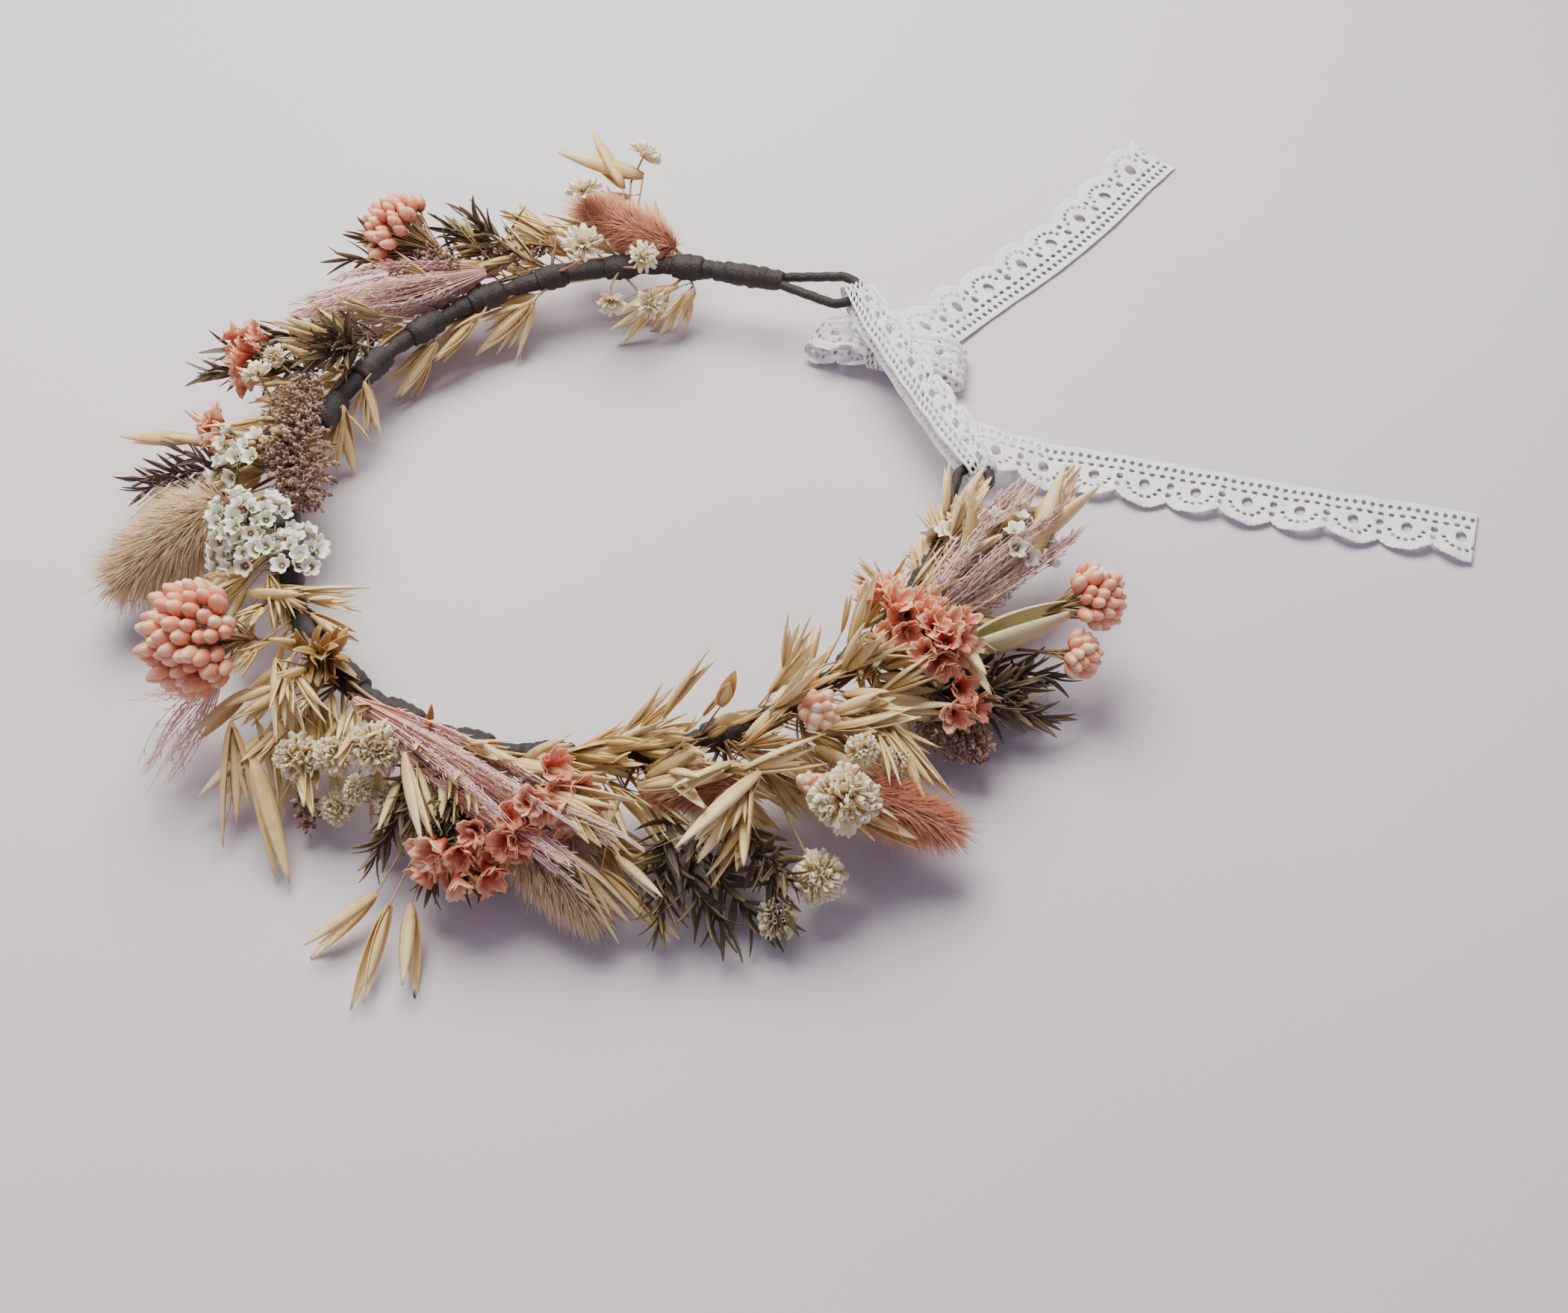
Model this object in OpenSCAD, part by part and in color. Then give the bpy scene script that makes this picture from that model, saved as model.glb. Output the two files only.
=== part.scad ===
// Flower crown: a taped wire ring, open at the back, with dried flowers bound
// round it and a lace ribbon laced through its two end loops.
// Millimetres, +Z up. The table is z = 0, and the ring's axis is the Z axis.
// The open back is at +Y. Angles run counter-clockwise from +X: the left end
// of the ring is at arc_start, and the right end at arc_start + arc_span.

/* [Ring] */
// Radius of the wire ring, to the wire's centre
ring_r = 92; // [76:1:112]
// Height of the wire's centre over the table
ring_h = 19; // [17:1:26]
// Angle round the ring that the wire covers
arc_span = 263; // [255:1:270]
// Diameter of the bare core wire
wire_d = 1.6; // [1:0.1:2]
// Outer diameter of the floral tape on the ring
tape_d = 5; // [4:0.1:6.5]
// Outer diameter of the bands that bind the stems on
band_d = 8.4; // [8:0.1:10.5]
// Length of each binding band along the ring
band_l = 8; // [5:0.5:9]
// Number of binding bands
band_count = 20; // [16:1:22]

/* [Ends] */
// Outer diameter of the thick tape wrap at each end
sleeve_d = 6.6; // [6.2:0.1:8]
// Length of the straight end under each wrap
sleeve_l = 20; // [14:1:24]
// Outer diameter of the taped wire in the end loops
loop_tape_d = 3; // [2.6:0.1:3.6]
// Length of each end loop up to its round tip
loop_l = 18; // [14:1:22]
// Width of the left end loop between its wires' centres
left_loop_w = 12; // [9:0.5:14]
// Width of the right end loop between its wires' centres
right_loop_w = 9; // [9:0.5:12]

/* [Lace] */
// Flat width of the lace ribbon
lace_w = 19; // [14:1:22]
// Width of the strap where the ribbon is folded between the end loops
strap_w = 12; // [9:0.5:14]
// Thickness of one layer of lace
lace_t = 1.2; // [0.8:0.1:1.6]
// Length of the left tail past the bow
left_tail_l = 132; // [90:1:170]
// Length of the right tail past the strap
right_tail_l = 148; // [90:1:180]
// Length of each bow loop
bow_l = 24; // [18:1:28]

/* [Plants] */
// Diameter of a dried stem
stem_d = 1.1; // [0.8:0.1:1.5]
// Width of one oat husk
husk_w = 3.6; // [2.6:0.1:4.4]
// Thickness of the beige hare's tail
beige_tail_d = 18; // [14:0.5:21]
// Thickness of the terracotta hare's tails
terra_tail_d = 11; // [9:0.5:13]
// Thickness of the pink plume at the front
front_plume_d = 20; // [15:0.5:24]
// Diameter of a rice flower bud
bud_d = 4.6; // [3.6:0.1:5.4]
// Thickness of a needle leaf
leaf_t = 0.8; // [0.6:0.1:1.2]

/* [Hidden] */
$fn = 40;
arc_start = 90 + (360 - arc_span) / 2 + 1.5;
band_pitch = (arc_span - 12) / (band_count - 1);
wire_gap = 0.12;
stem_gap = 0.1;
stem_seat = 0.25;
loop_gap = 0.25;
neck = loop_tape_d / 2 + 0.1;
left_loop_r = left_loop_w / 2;
right_loop_r = right_loop_w / 2;
bow_lean = 12;
bow_round = 3.2;
straw = [0.84, 0.73, 0.5];
dark_tape = [0.16, 0.12, 0.12];
coral = [0.86, 0.47, 0.38];
cream = [0.9, 0.83, 0.66];
dusty_pink = [0.8, 0.56, 0.55];
olive = [0.3, 0.27, 0.15];
umber = [0.45, 0.33, 0.27];
lace_white = [0.95, 0.94, 0.95];

// A place near the ring: angle, distance outwards from the wire, and height over it
function at(a, out, up) =
  [(ring_r + out) * cos(a), (ring_r + out) * sin(a), ring_h + up];

// The point at distance d from p on the way to q
function towards(p, q, d) = p + d * (q - p) / norm(q - p);

// The angle of the binding band nearest to an angle
function band_angle(k) = arc_start + 6 + k * band_pitch;
function nearest_band(a) =
  band_angle(min(band_count - 1, max(0, round((a - arc_start - 6) / band_pitch))));

// Puts children, drawn along +Z, on the line from p to q; $span is its length
module between(p, q) {
  $span = norm(q - p);
  turn = atan2(q.y - p.y, q.x - p.x);
  tilt = acos((q.z - p.z) / $span);
  translate(p) rotate([0, tilt, turn]) children();
}

// A stem from the nearest binding band to a flower's foot
module stem_to(foot, a, d = stem_d) {
  centre = at(nearest_band(a), 0, 0);
  between(towards(centre, foot, band_d / 2 - stem_seat), foot)
    cylinder(h = $span, d = d, $fn = 8);
}

// ---------------------------------------------------------------- frame

// Stretch of tube round the ring, between two angles
module ring_tube(a, b, d, hole = 0) {
  rotate([0, 0, a]) rotate_extrude(angle = b - a, $fn = 120)
    translate([ring_r, ring_h]) difference() {
      circle(d = d);
      if (hole > 0) circle(d = hole);
    }
}

// The left and right ends: +X runs off the ring's end along its tangent
module at_left_end() {
  translate(at(arc_start, 0, 0)) rotate([0, 0, arc_start - 90]) children();
}
module at_right_end() {
  translate(at(arc_start + arc_span, 0, 0))
    rotate([0, 0, arc_start + arc_span + 90]) children();
}

// A hairpin of round wire or tube: two limbs that leave the neck at the origin
// and run into the arc round its far end
function reach_of(loop_r) = sqrt(loop_l ^ 2 + neck ^ 2 - loop_r ^ 2);
function spread_of(loop_r) =
  asin(loop_r / sqrt(loop_l ^ 2 + neck ^ 2)) - atan(neck / loop_l);

module hairpin(d, loop_r, starts, hole = 0, lap = 0) {
  spread = spread_of(loop_r);
  for (k = [0, 1]) {
    side = 1 - 2 * k;
    translate([0, side * neck, 0]) rotate([0, 0, side * spread])
      translate([starts[k], 0, 0]) rotate([0, 90, 0])
        linear_extrude(height = reach_of(loop_r) - starts[k] - lap) ring(d, hole);
  }
  translate([loop_l, 0, 0]) rotate([0, 0, -90 - spread])
    rotate_extrude(angle = 180 + 2 * spread) translate([loop_r, 0]) ring(d, hole);
}

module ring(d, hole) {
  difference() {
    circle(d = d);
    if (hole > 0) circle(d = hole);
  }
}

module core_wire() {
  color("silver") {
    ring_tube(arc_start, arc_start + arc_span, wire_d);
    at_left_end() wire_end(left_loop_r);
    at_right_end() wire_end(right_loop_r);
  }
}

// The straight end of the wire, its loop, and the cut end that comes back beside it;
// each bend in it is a slight swelling
swell_l = 0.8;

module swell() {
  rotate([0, 90, 0]) cylinder(h = swell_l, d = wire_d + 1.6 * wire_gap, center = true);
}

module wire_end(loop_r) {
  spread = spread_of(loop_r);
  corner = sleeve_l - neck / tan(spread);
  rotate([0, 90, 0]) cylinder(h = corner, d = wire_d);
  swell();
  translate([corner, 0, 0]) swell();
  translate([sleeve_l, 0, 0]) {
    hairpin(wire_d, loop_r, [-neck / sin(spread), -2.5]);
    for (side = [-1, 1])
      translate([0, side * neck, 0]) rotate([0, 0, side * spread])
        translate([reach_of(loop_r), 0, 0]) swell();
  }
}

module ring_tape() {
  color(dark_tape)
    ring_tube(arc_start, arc_start + arc_span, tape_d, wire_d + 2 * wire_gap);
}

// Bands of the same tape that bind each bunch of stems to the ring
module binding_bands() {
  half = band_l / 2 / ring_r * 180 / PI;
  color(dark_tape) for (k = [0 : band_count - 1])
    ring_tube(band_angle(k) - half, band_angle(k) + half, band_d,
      tape_d + 2 * wire_gap);
}

// The cut stems that run along the ring from one band to the next
module bound_stems() {
  half = band_l / 2 / ring_r * 180 / PI;
  reach = tape_d / 2 + stem_d / 2 + stem_gap;
  color(straw) for (k = [0 : band_count - 2], side = [-40, 25, 95])
    rotate([0, 0, band_angle(k) + half]) rotate_extrude(angle = band_pitch - 2 * half)
      translate([ring_r + reach * cos(side), ring_h + reach * sin(side)])
        circle(d = stem_d, $fn = 16);
}

// The thick wrap at a ring end, hollow for the wire and its cut end
module end_wrap() {
  room = wire_d + 2 * wire_gap;
  difference() {
    rotate([0, 90, 0]) rotate_extrude()
      polygon([[0, 0.2], [tape_d / 2, 0.2], [sleeve_d / 2, 4],
        [sleeve_d / 2, sleeve_l - 2], [sleeve_d / 2 - 0.5, sleeve_l - 0.2],
        [0, sleeve_l - 0.2]]);
    translate([-1, -room / 2, -room / 2]) cube([sleeve_l, room, room]);
    translate([sleeve_l - 12.5, -neck - room / 2, -room / 2])
      cube([14, 2 * neck + room, room]);
  }
}

module left_end_wrap() {
  color(dark_tape) at_left_end() end_wrap();
}

module right_end_wrap() {
  color(dark_tape) at_right_end() end_wrap();
}

// The tape on an end loop, a hollow sleeve over the wire in three stretches
module loop_tape(loop_r) {
  translate([sleeve_l, 0, 0])
    hairpin(loop_tape_d, loop_r, [0.5, 0.5], wire_d + 2 * wire_gap, 0.02);
}

module left_loop_tape() {
  color(dark_tape) at_left_end() loop_tape(left_loop_r);
}

module right_loop_tape() {
  color(dark_tape) at_right_end() loop_tape(right_loop_r);
}

// ---------------------------------------------------------------- lace

// The middle of each loop's round tip
function end_tip(a, turn, loop_r) =
  at(a, 0, 0) + (sleeve_l + loop_l + loop_r) * [cos(turn), sin(turn), 0];
left_tip = end_tip(arc_start, arc_start - 90, left_loop_r);
right_tip = end_tip(arc_start + arc_span, arc_start + arc_span + 90, right_loop_r);
strap_l = norm(right_tip - left_tip);
strap_turn = atan2(right_tip.y - left_tip.y, right_tip.x - left_tip.x);

// A flat band folded into a closed loop, of two straight layers and round ends;
// it runs along +X from one end's centre, and its width is along Y
module belt(l, r, w) {
  translate([0, w / 2, 0]) rotate([90, 0, 0]) linear_extrude(height = w)
    difference() {
      belt_outline(l, r + lace_t);
      belt_outline(l, r);
    }
}

module belt_outline(l, r) {
  circle(r = r);
  translate([l, 0]) circle(r = r);
  translate([0, -r]) square([l, 2 * r]);
}

// The ribbon between the end loops: it turns round both tips and is drawn narrow there
module lace_strap() {
  r = loop_tape_d / 2 + loop_gap;
  end_x = r + lace_t + 1;
  left_half = left_loop_r - loop_tape_d / 2 - 1;
  right_half = right_loop_r - loop_tape_d / 2 - 0.6;
  color(lace_white) translate(left_tip) rotate([0, 0, strap_turn])
    intersection() {
      belt(strap_l, r, strap_w);
      translate([0, 0, -10]) linear_extrude(height = 20)
        polygon([[-end_x, -left_half], [3, -left_half], [12, -strap_w / 2],
          [strap_l - 12, -strap_w / 2], [strap_l - 3, -right_half],
          [strap_l + end_x, -right_half], [strap_l + end_x, right_half],
          [strap_l - 3, right_half], [strap_l - 12, strap_w / 2],
          [12, strap_w / 2], [3, left_half], [-end_x, left_half]]);
    }
}

// The knot and its two loops hang under the strap and rest on the table
knot_h = (bow_l - 3) * sin(bow_lean) + bow_round + lace_t;
knot_at = [left_tip.x + 16, left_tip.y + 1, knot_h];

module lace_bow() {
  color(lace_white) {
    translate(knot_at) rotate([0, 0, 46]) cube([9, 10, 8], center = true);
    for (turn = [-145, 58])
      translate(knot_at) rotate([0, bow_lean, turn]) translate([7, 0, 0])
        belt(bow_l - 10, bow_round, lace_w - 4);
  }
}

// A flat tail that comes down from height h and then lies on the table
module lace_tail(l, h, slope, w) {
  translate([0, w / 2, 0]) rotate([90, 0, 0]) linear_extrude(height = w)
    polygon([[0, h], [slope, 0], [l, 0], [l, lace_t], [slope + 0.5, lace_t],
      [0, h + lace_t * 1.1]]);
}

module lace_tail_left() {
  color(lace_white) translate([knot_at.x - 1, knot_at.y + 5, 0]) rotate([0, 0, 113])
    lace_tail(left_tail_l, knot_at.z, 34, lace_w - 4);
}

module lace_tail_right() {
  color(lace_white) translate([right_tip.x - 20, right_tip.y + 6, 0])
    rotate([0, 0, 52]) lace_tail(right_tail_l, 9, 26, lace_w - 2);
}

// ---------------------------------------------------------------- plants

// One oat husk, a spindle along +Z
module husk(l, w) {
  rotate_extrude(angle = 360)
    polygon([[0, 0], [w * 0.32, l * 0.12], [w / 2, l * 0.34], [w * 0.36, l * 0.66],
      [0, l]]);
}

// Oat spikelets, each given by its foot and its tip: a stem, and two husks that
// open a little from one foot
module oats(pairs) {
  color(straw) for (pair = pairs) {
    foot = at(pair[0], pair[1], pair[2]);
    tip = at(pair[3], pair[4], pair[5]);
    stem_to(foot, pair[0]);
    between(foot, tip) for (side = [-1, 1])
      rotate([0, side * 8, 0]) husk($span * (side < 0 ? 1 : 0.86), husk_w);
  }
}

// A soft egg-shaped head along +Z, fuller towards its foot
module soft_head(l, d) {
  rotate_extrude()
    polygon([[0, 0], [d * 0.3, l * 0.03], [d * 0.46, l * 0.18], [d / 2, l * 0.38],
      [d * 0.46, l * 0.62], [d * 0.32, l * 0.84], [d * 0.14, l * 0.96], [0, l]]);
}

module hares_tail(foot, tip, d, a) {
  stem_to(foot, a, stem_d * 1.3);
  between(foot, tip) soft_head($span, d);
}

// A plume along +Z that widens from its stem and thins out at its tip
module plume_head(l, d) {
  rotate_extrude()
    polygon([[0, 0], [d * 0.12, l * 0.02], [d * 0.34, l * 0.3], [d / 2, l * 0.62],
      [d * 0.36, l * 0.86], [0, l]]);
}

// A domed cluster of buds: a short cone with buds set on a spiral over its top
module bud_cluster(foot, top, w, count, d) {
  between(foot, top) {
    cylinder(h = $span * 0.6, d1 = 2, d2 = w * 0.8);
    for (i = [0 : count - 1]) {
      share = (i + 0.5) / count;
      lean = acos(1 - share * 0.95);
      translate([0, 0, $span * 0.45]) rotate([0, 0, i * 137.5]) rotate([0, lean, 0])
        translate([0, 0, $span * 0.5 * cos(lean) + w * 0.46 * sin(lean)])
          sphere(d = d, $fn = 24);
    }
    translate([0, 0, $span * 0.6 - 0.01]) cylinder(h = $span * 0.25,
      d1 = w * 0.8, d2 = w * 0.4);
  }
}

// A small funnel-shaped papery floret along +Z
module floret(d, h) {
  cylinder(h = h, d1 = d * 0.25, d2 = d, $fn = 20);
}

// A head of papery florets on a branching foot
module statice(foot, top, w, count, d) {
  between(foot, top) {
    cylinder(h = $span * 0.7, d1 = 1.6, d2 = w * 0.7);
    for (i = [0 : count - 1]) {
      lean = acos(1 - (i + 0.4) / count * 0.9);
      translate([0, 0, $span * 0.4]) rotate([0, 0, i * 137.5]) rotate([0, lean, 0])
        translate([0, 0, $span * 0.3 * cos(lean) + w * 0.3 * sin(lean)])
          floret(d, d * 0.7);
    }
  }
}

// One pointed leaf, flat, from the origin along +X
module leaf(l, w) {
  translate([0, 0, -leaf_t / 2]) linear_extrude(height = leaf_t)
    polygon([[0, -w * 0.2], [l * 0.35, -w / 2], [l, 0], [l * 0.35, w / 2], [0, w * 0.2]]);
}

// A twig with pointed leaves set round it on a spiral
module leaf_twig(foot, tip, count, l, w, a) {
  stem_to(foot, a);
  between(foot, tip) {
    cylinder(h = $span, d = stem_d, $fn = 8);
    for (i = [0 : count - 1])
      translate([0, 0, $span * (i + 0.6) / count]) rotate([0, 0, i * 137.5])
        rotate([0, -50, 0]) translate([stem_d * 0.3, 0, 0]) leaf(l, w);
  }
}

// A ball of tiny petals on a short stem
module pompom(centre, d, a) {
  root = at(nearest_band(a), 0, 0);
  stem_to(towards(centre, root, d * 0.45), a);
  translate(centre) sphere(d = d);
}

// A small daisy: a shallow cup of petals round a button, facing along the line
module daisy(centre, face, d, a) {
  back = towards(centre, face, -d * 0.3);
  stem_to(back, a);
  between(back, face) {
    cylinder(h = d * 0.45, d1 = 1.4, d2 = d);
    translate([0, 0, d * 0.42]) sphere(d = d * 0.5);
  }
}

module terracotta_hares_tail() {
  color(coral) hares_tail(at(149, 5, 3), at(166, 17, 13), terra_tail_d, 147);
}

module daisies_left_end() {
  color(cream) {
    daisy(at(166, -4, 8), at(164, -8, 20), 9.5, 160);
    daisy(at(155, -9, 7), at(150, -13, 18), 6.5, 150);
    daisy(at(154, -11, -6), at(148, -20, 2), 7, 150);
    daisy(at(161, -11, 2), at(161, -20, -4), 7, 160);
    daisy(at(157, 28, 15), at(153, 34, 25), 8, 155);
    daisy(at(164, 15, 16), at(164, 18, 26), 7, 160);
  }
}

module oats_left_end() {
  oats([[151, -9, -6, 163, -14, -17], [144, -6, -4, 152, -11, -17],
    [158, 20, 14, 163, 42, 17], [155, 24, 15, 167, 38, 16]]);
}

module rice_flower_back_left() {
  color(coral) {
    stem_to(at(186, 8, 6), 182);
    bud_cluster(at(186, 8, 6), at(195, 32, 16), 21, 26, bud_d * 0.8);
  }
}

module needle_leaves_back_left() {
  color(olive) {
    leaf_twig(at(176, 9, 4), at(187, 23, 12), 9, 12, 2, 172);
    leaf_twig(at(186, 14, 3), at(203, 36, 11), 9, 12, 2, 184);
  }
}

module pink_plume_left() {
  color(dusty_pink) {
    stem_to(at(184, 4, 6), 180);
    between(at(184, 4, 6), at(214, 30, 5)) plume_head($span, 18);
  }
}

module seed_heads_back_left() {
  color(umber) {
    stem_to(at(171, 8, 5), 170);
    between(at(171, 8, 5), at(184, 11, 8)) soft_head($span, 9);
    stem_to(at(188, 7, 9), 185);
    between(at(188, 7, 9), at(193, 20, 12)) soft_head($span, 7);
  }
}

module oats_back_left() {
  oats([[178, 10, 8, 188, 16, 9], [170, 10, 8, 178, 22, 12],
    [188, -6, 0, 200, 3, -13], [178, -7, -2, 192, -5, -15],
    [199, -5, -3, 210, -2, -15]]);
}

module needle_leaves_left() {
  color(olive) {
    leaf_twig(at(208, 8, 3), at(220, 32, 10), 10, 13, 2, 204);
    leaf_twig(at(219, 16, 1), at(226, 42, 4), 10, 12, 2, 216);
    leaf_twig(at(212, 2, 7), at(222, 8, 14), 7, 12, 2, 210);
  }
}

module coral_statice_left() {
  color(coral) {
    stem_to(at(220, 12, 8), 218);
    statice(at(220, 12, 8), at(226, 30, 13), 14, 12, 4.5);
    stem_to(at(233, 14, -2), 232);
    statice(at(233, 14, -2), at(236, 32, 1), 11, 9, 4.5);
  }
}

module pale_buds_left() {
  color(cream) {
    pompom(at(225, 14, 17), 6, 222);
    daisy(at(231, 10, 10), at(230, 14, 22), 9, 230);
  }
}

module oats_left() {
  oats([[233, 11, 8, 238, 28, 9], [236, 14, 9, 243, 0, 10],
    [234, 36, -4, 234, 62, -8], [240, 34, -6, 244, 52, -15],
    [224, -4, 2, 229, -4, -17], [217, -4, 2, 222, -9, -12]]);
}

module astilbe_left() {
  color(umber) {
    stem_to(at(230, 4, 7), 226);
    between(at(230, 4, 7), at(252, -9, 5)) {
      soft_head($span, 15);
      for (i = [0 : 17])
        translate([0, 0, $span * (0.15 + 0.045 * i)]) rotate([0, 0, i * 137.5])
          translate([6 * sin(25 + 8 * i), 0, 0]) sphere(d = 4, $fn = 24);
    }
  }
}

module white_statice_left() {
  color("whitesmoke") {
    stem_to(at(242, 8, 4), 240);
    statice(at(242, 8, 4), at(244, 20, 12), 11, 9, 5);
  }
}

module dark_twigs_left() {
  color(olive) {
    leaf_twig(at(239, 26, -4), at(240, 54, -8.5), 8, 10, 2, 238);
    leaf_twig(at(244, 22, -6), at(243, 46, -12), 6, 9, 2, 240);
  }
}

module beige_hares_tail() {
  color("tan") hares_tail(at(249, 14, 4), at(257, 50, -6), beige_tail_d, 248);
}

module white_statice_cluster() {
  color("whitesmoke") {
    stem_to(at(258, 6, 5), 256);
    statice(at(258, 6, 5), at(258, 8, 20), 22, 20, 6);
    stem_to(at(266, -3, 3), 264);
    statice(at(266, -3, 3), at(267, -11, 11), 13, 10, 6);
  }
}

module rice_flower_left() {
  color(coral) {
    stem_to(at(279, 7, 2), 276);
    bud_cluster(at(279, 7, 2), at(278, 34, 20), 32, 38, bud_d);
  }
}

module oats_lower_left() {
  oats([[270, 11, 7, 276, -5, 9], [268, 4, 8, 279, 5, 6],
    [273, 0, 7, 281, -17, 4], [286, 13, 11, 297, 24, 6]]);
}

module oats_outer_left() {
  oats([[285, 22, 4, 284, 40, -4], [287, 30, 2, 296, 46, -17],
    [293, 32, 0, 303, 48, -17], [290, 27, -2, 290, 46, -12]]);
}

module golden_leaves_left() {
  color([0.62, 0.45, 0.2]) {
    leaf_twig(at(288, 3, 3), at(291, 2, 12), 9, 9, 3, 287);
    leaf_twig(at(309, 3, 3), at(314, 3, 6), 4, 8, 3, 308);
  }
}

module pink_wisps_left() {
  color(dusty_pink) {
    stem_to(at(279, 26, 0), 276);
    between(at(279, 26, 0), at(285, 60, -13)) plume_head($span, 8);
    between(at(279, 26, 0), at(272, 48, -8)) plume_head($span, 6);
  }
}

module pompoms_left() {
  color(cream) {
    pompom(at(297, 24, 0), 12, 296);
    pompom(at(301, 19, 1), 10, 300);
    pompom(at(307, 14, 7), 13, 306);
    pompom(at(306, 22, -3), 8, 304);
    pompom(at(303, 26, -10), 9, 302);
    pompom(at(310, 20, -6), 9, 308);
  }
}

module bud_twig_left() {
  color(umber) {
    stem_to(at(299, 29, -5), 294);
    between(at(299, 29, -5), at(301, 34, -15)) {
      cylinder(h = $span, d = stem_d, $fn = 8);
      for (i = [0 : 6])
        translate([0, 0, 1.5 + 1.6 * i]) rotate([0, 0, 137.5 * i])
          translate([1, 0, 0]) sphere(d = 2.3, $fn = 24);
    }
  }
}

module needle_leaves_front_left() {
  color(olive) {
    leaf_twig(at(313, 12, 0), at(312, 38, -7), 11, 10, 1.8, 312);
    leaf_twig(at(317, 14, 0), at(320, 40, -9), 11, 10, 1.8, 316);
    leaf_twig(at(320, 10, -2), at(325, 34, -8), 9, 10, 1.8, 320);
  }
}

module oat_trio_front() {
  oats([[316, 44, -10, 317, 70, -16], [314, 42, -10, 310, 62, -15],
    [318, 42, -10, 321, 63, -16]]);
}

module pink_plume_front() {
  color(dusty_pink) {
    stem_to(at(299, 6, 7), 296);
    between(at(299, 6, 7), at(341, 36, 3)) plume_head($span, front_plume_d);
  }
}

module coral_statice_front() {
  color(coral) {
    stem_to(at(322, 18, -1), 322);
    statice(at(322, 18, -1), at(323, 40, -3), 17, 14, 6);
    stem_to(at(333, 14, 2), 332);
    statice(at(333, 14, 2), at(335, 30, 7), 17, 14, 6);
  }
}

module beige_hares_tail_front() {
  color("tan") hares_tail(at(327, 20, -5), at(339, 42, -11), 13, 326);
}

module oats_front_left() {
  oats([[312, 14, 10, 320, 34, 7], [318, 5, 8, 329, 10, 10],
    [326, 8, 8, 338, 16, 11], [331, 16, 10, 343, 26, 11]]);
}

module oats_front() {
  oats([[336, 30, 2, 342, 46, -13], [339, 33, 0, 346, 47, -14],
    [334, 3, 6, 347, 6, 8], [344, 16, 8, 356, 19, 10],
    [341, 1, 4, 353, 1, 8]]);
}

module oats_front_right() {
  oats([[359, 22, 11, 348, 38, 7], [357, 28, 6, 350, 41, -1],
    [357, 18, 8, 368, 25, 12], [370, 17, 8, 379, 30, 12],
    [376, 26, 8, 375, 48, 1], [365, 30, 6, 371, 52, -3]]);
}

module coral_hares_tail() {
  color(coral) hares_tail(at(366, 26, 2), at(376, 57, -5), terra_tail_d * 1.25, 364);
}

module coral_hares_tail_inner() {
  color(coral) hares_tail(at(357, 20, 4), at(344, 14, 2), terra_tail_d * 0.9, 358);
}

module pompoms_right() {
  color(cream) {
    pompom(at(366, 38, 10), 15.5, 364);
    pompom(at(361, 45, -6), 12.5, 360);
    pompom(at(356, 48, -12), 10, 356);
    pompom(at(371, 29, 11), 8, 370);
    pompom(at(374, 33, 5), 7, 372);
  }
}

module rice_flower_front_right() {
  color(coral) {
    stem_to(at(368, 10, 6), 366);
    bud_cluster(at(368, 10, 6), at(369, 17, 17), 9, 8, bud_d);
    stem_to(at(363, 26, 2), 362);
    bud_cluster(at(363, 26, 2), at(364, 29, 9), 5, 4, bud_d);
  }
}

module needle_leaves_front_right() {
  color(olive) {
    leaf_twig(at(351, 22, -2), at(351, 52, -10.5), 11, 12, 2, 350);
    leaf_twig(at(347, 24, -2), at(344, 48, -9), 9, 11, 2, 346);
    leaf_twig(at(355, 26, -2), at(356, 54, -10), 9, 11, 2, 354);
  }
}

module rice_flower_right() {
  color(coral) {
    stem_to(at(401, 26, -2), 398);
    bud_cluster(at(401, 26, -2), at(405, 48, 8), 19, 24, bud_d * 0.85);
    stem_to(at(397, 31, -6), 396);
    bud_cluster(at(397, 31, -6), at(397, 50, -4), 12, 12, bud_d * 0.85);
  }
}

module mauve_plume_right() {
  color([0.66, 0.5, 0.47]) {
    stem_to(at(389, 8, 6), 386);
    between(at(389, 8, 6), at(421, 30, 3)) plume_head($span, 22);
  }
}

module coral_statice_right() {
  color(coral) {
    stem_to(at(389, 1, 7), 386);
    statice(at(389, 1, 7), at(391, 6, 15), 14, 12, 5.5);
    stem_to(at(390, 16, 6), 390);
    statice(at(390, 16, 6), at(389, 23, 14), 12, 8, 6);
    stem_to(at(386, 25, -2), 384);
    statice(at(386, 25, -2), at(386, 35, 3), 9, 6, 6);
  }
}

module oats_right() {
  oats([[393, 3, 8, 380, 10, 9], [384, 16, 8, 393, 24, 13],
    [378, 17, 9, 387, 24, 12], [393, 16, 9, 388, 36, 8],
    [370, 1, 3, 381, -10, 8], [377, 22, 7, 376, 44, 2]]);
}

module oats_right_end() {
  oats([[409, 3, 5, 418, -7, 4], [412, 3, 7, 423, 12, 9],
    [411, 25, 1, 426, 36, 4], [408, 26, 4, 421, 32, 14],
    [395, -3, 3, 393, -15, 8]]);
}

module green_pod_right() {
  color([0.68, 0.68, 0.45]) {
    stem_to(at(393, 20, 0), 390);
    between(at(393, 20, 0), at(404, 43, 5)) husk($span, 9);
  }
}

module needle_leaves_right() {
  color(olive) {
    leaf_twig(at(388, 22, -6), at(393, 48, -9.9), 11, 12, 2.2, 386);
    leaf_twig(at(393, 18, -5), at(399, 44, -11), 9, 11, 2.2, 392);
  }
}

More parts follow.
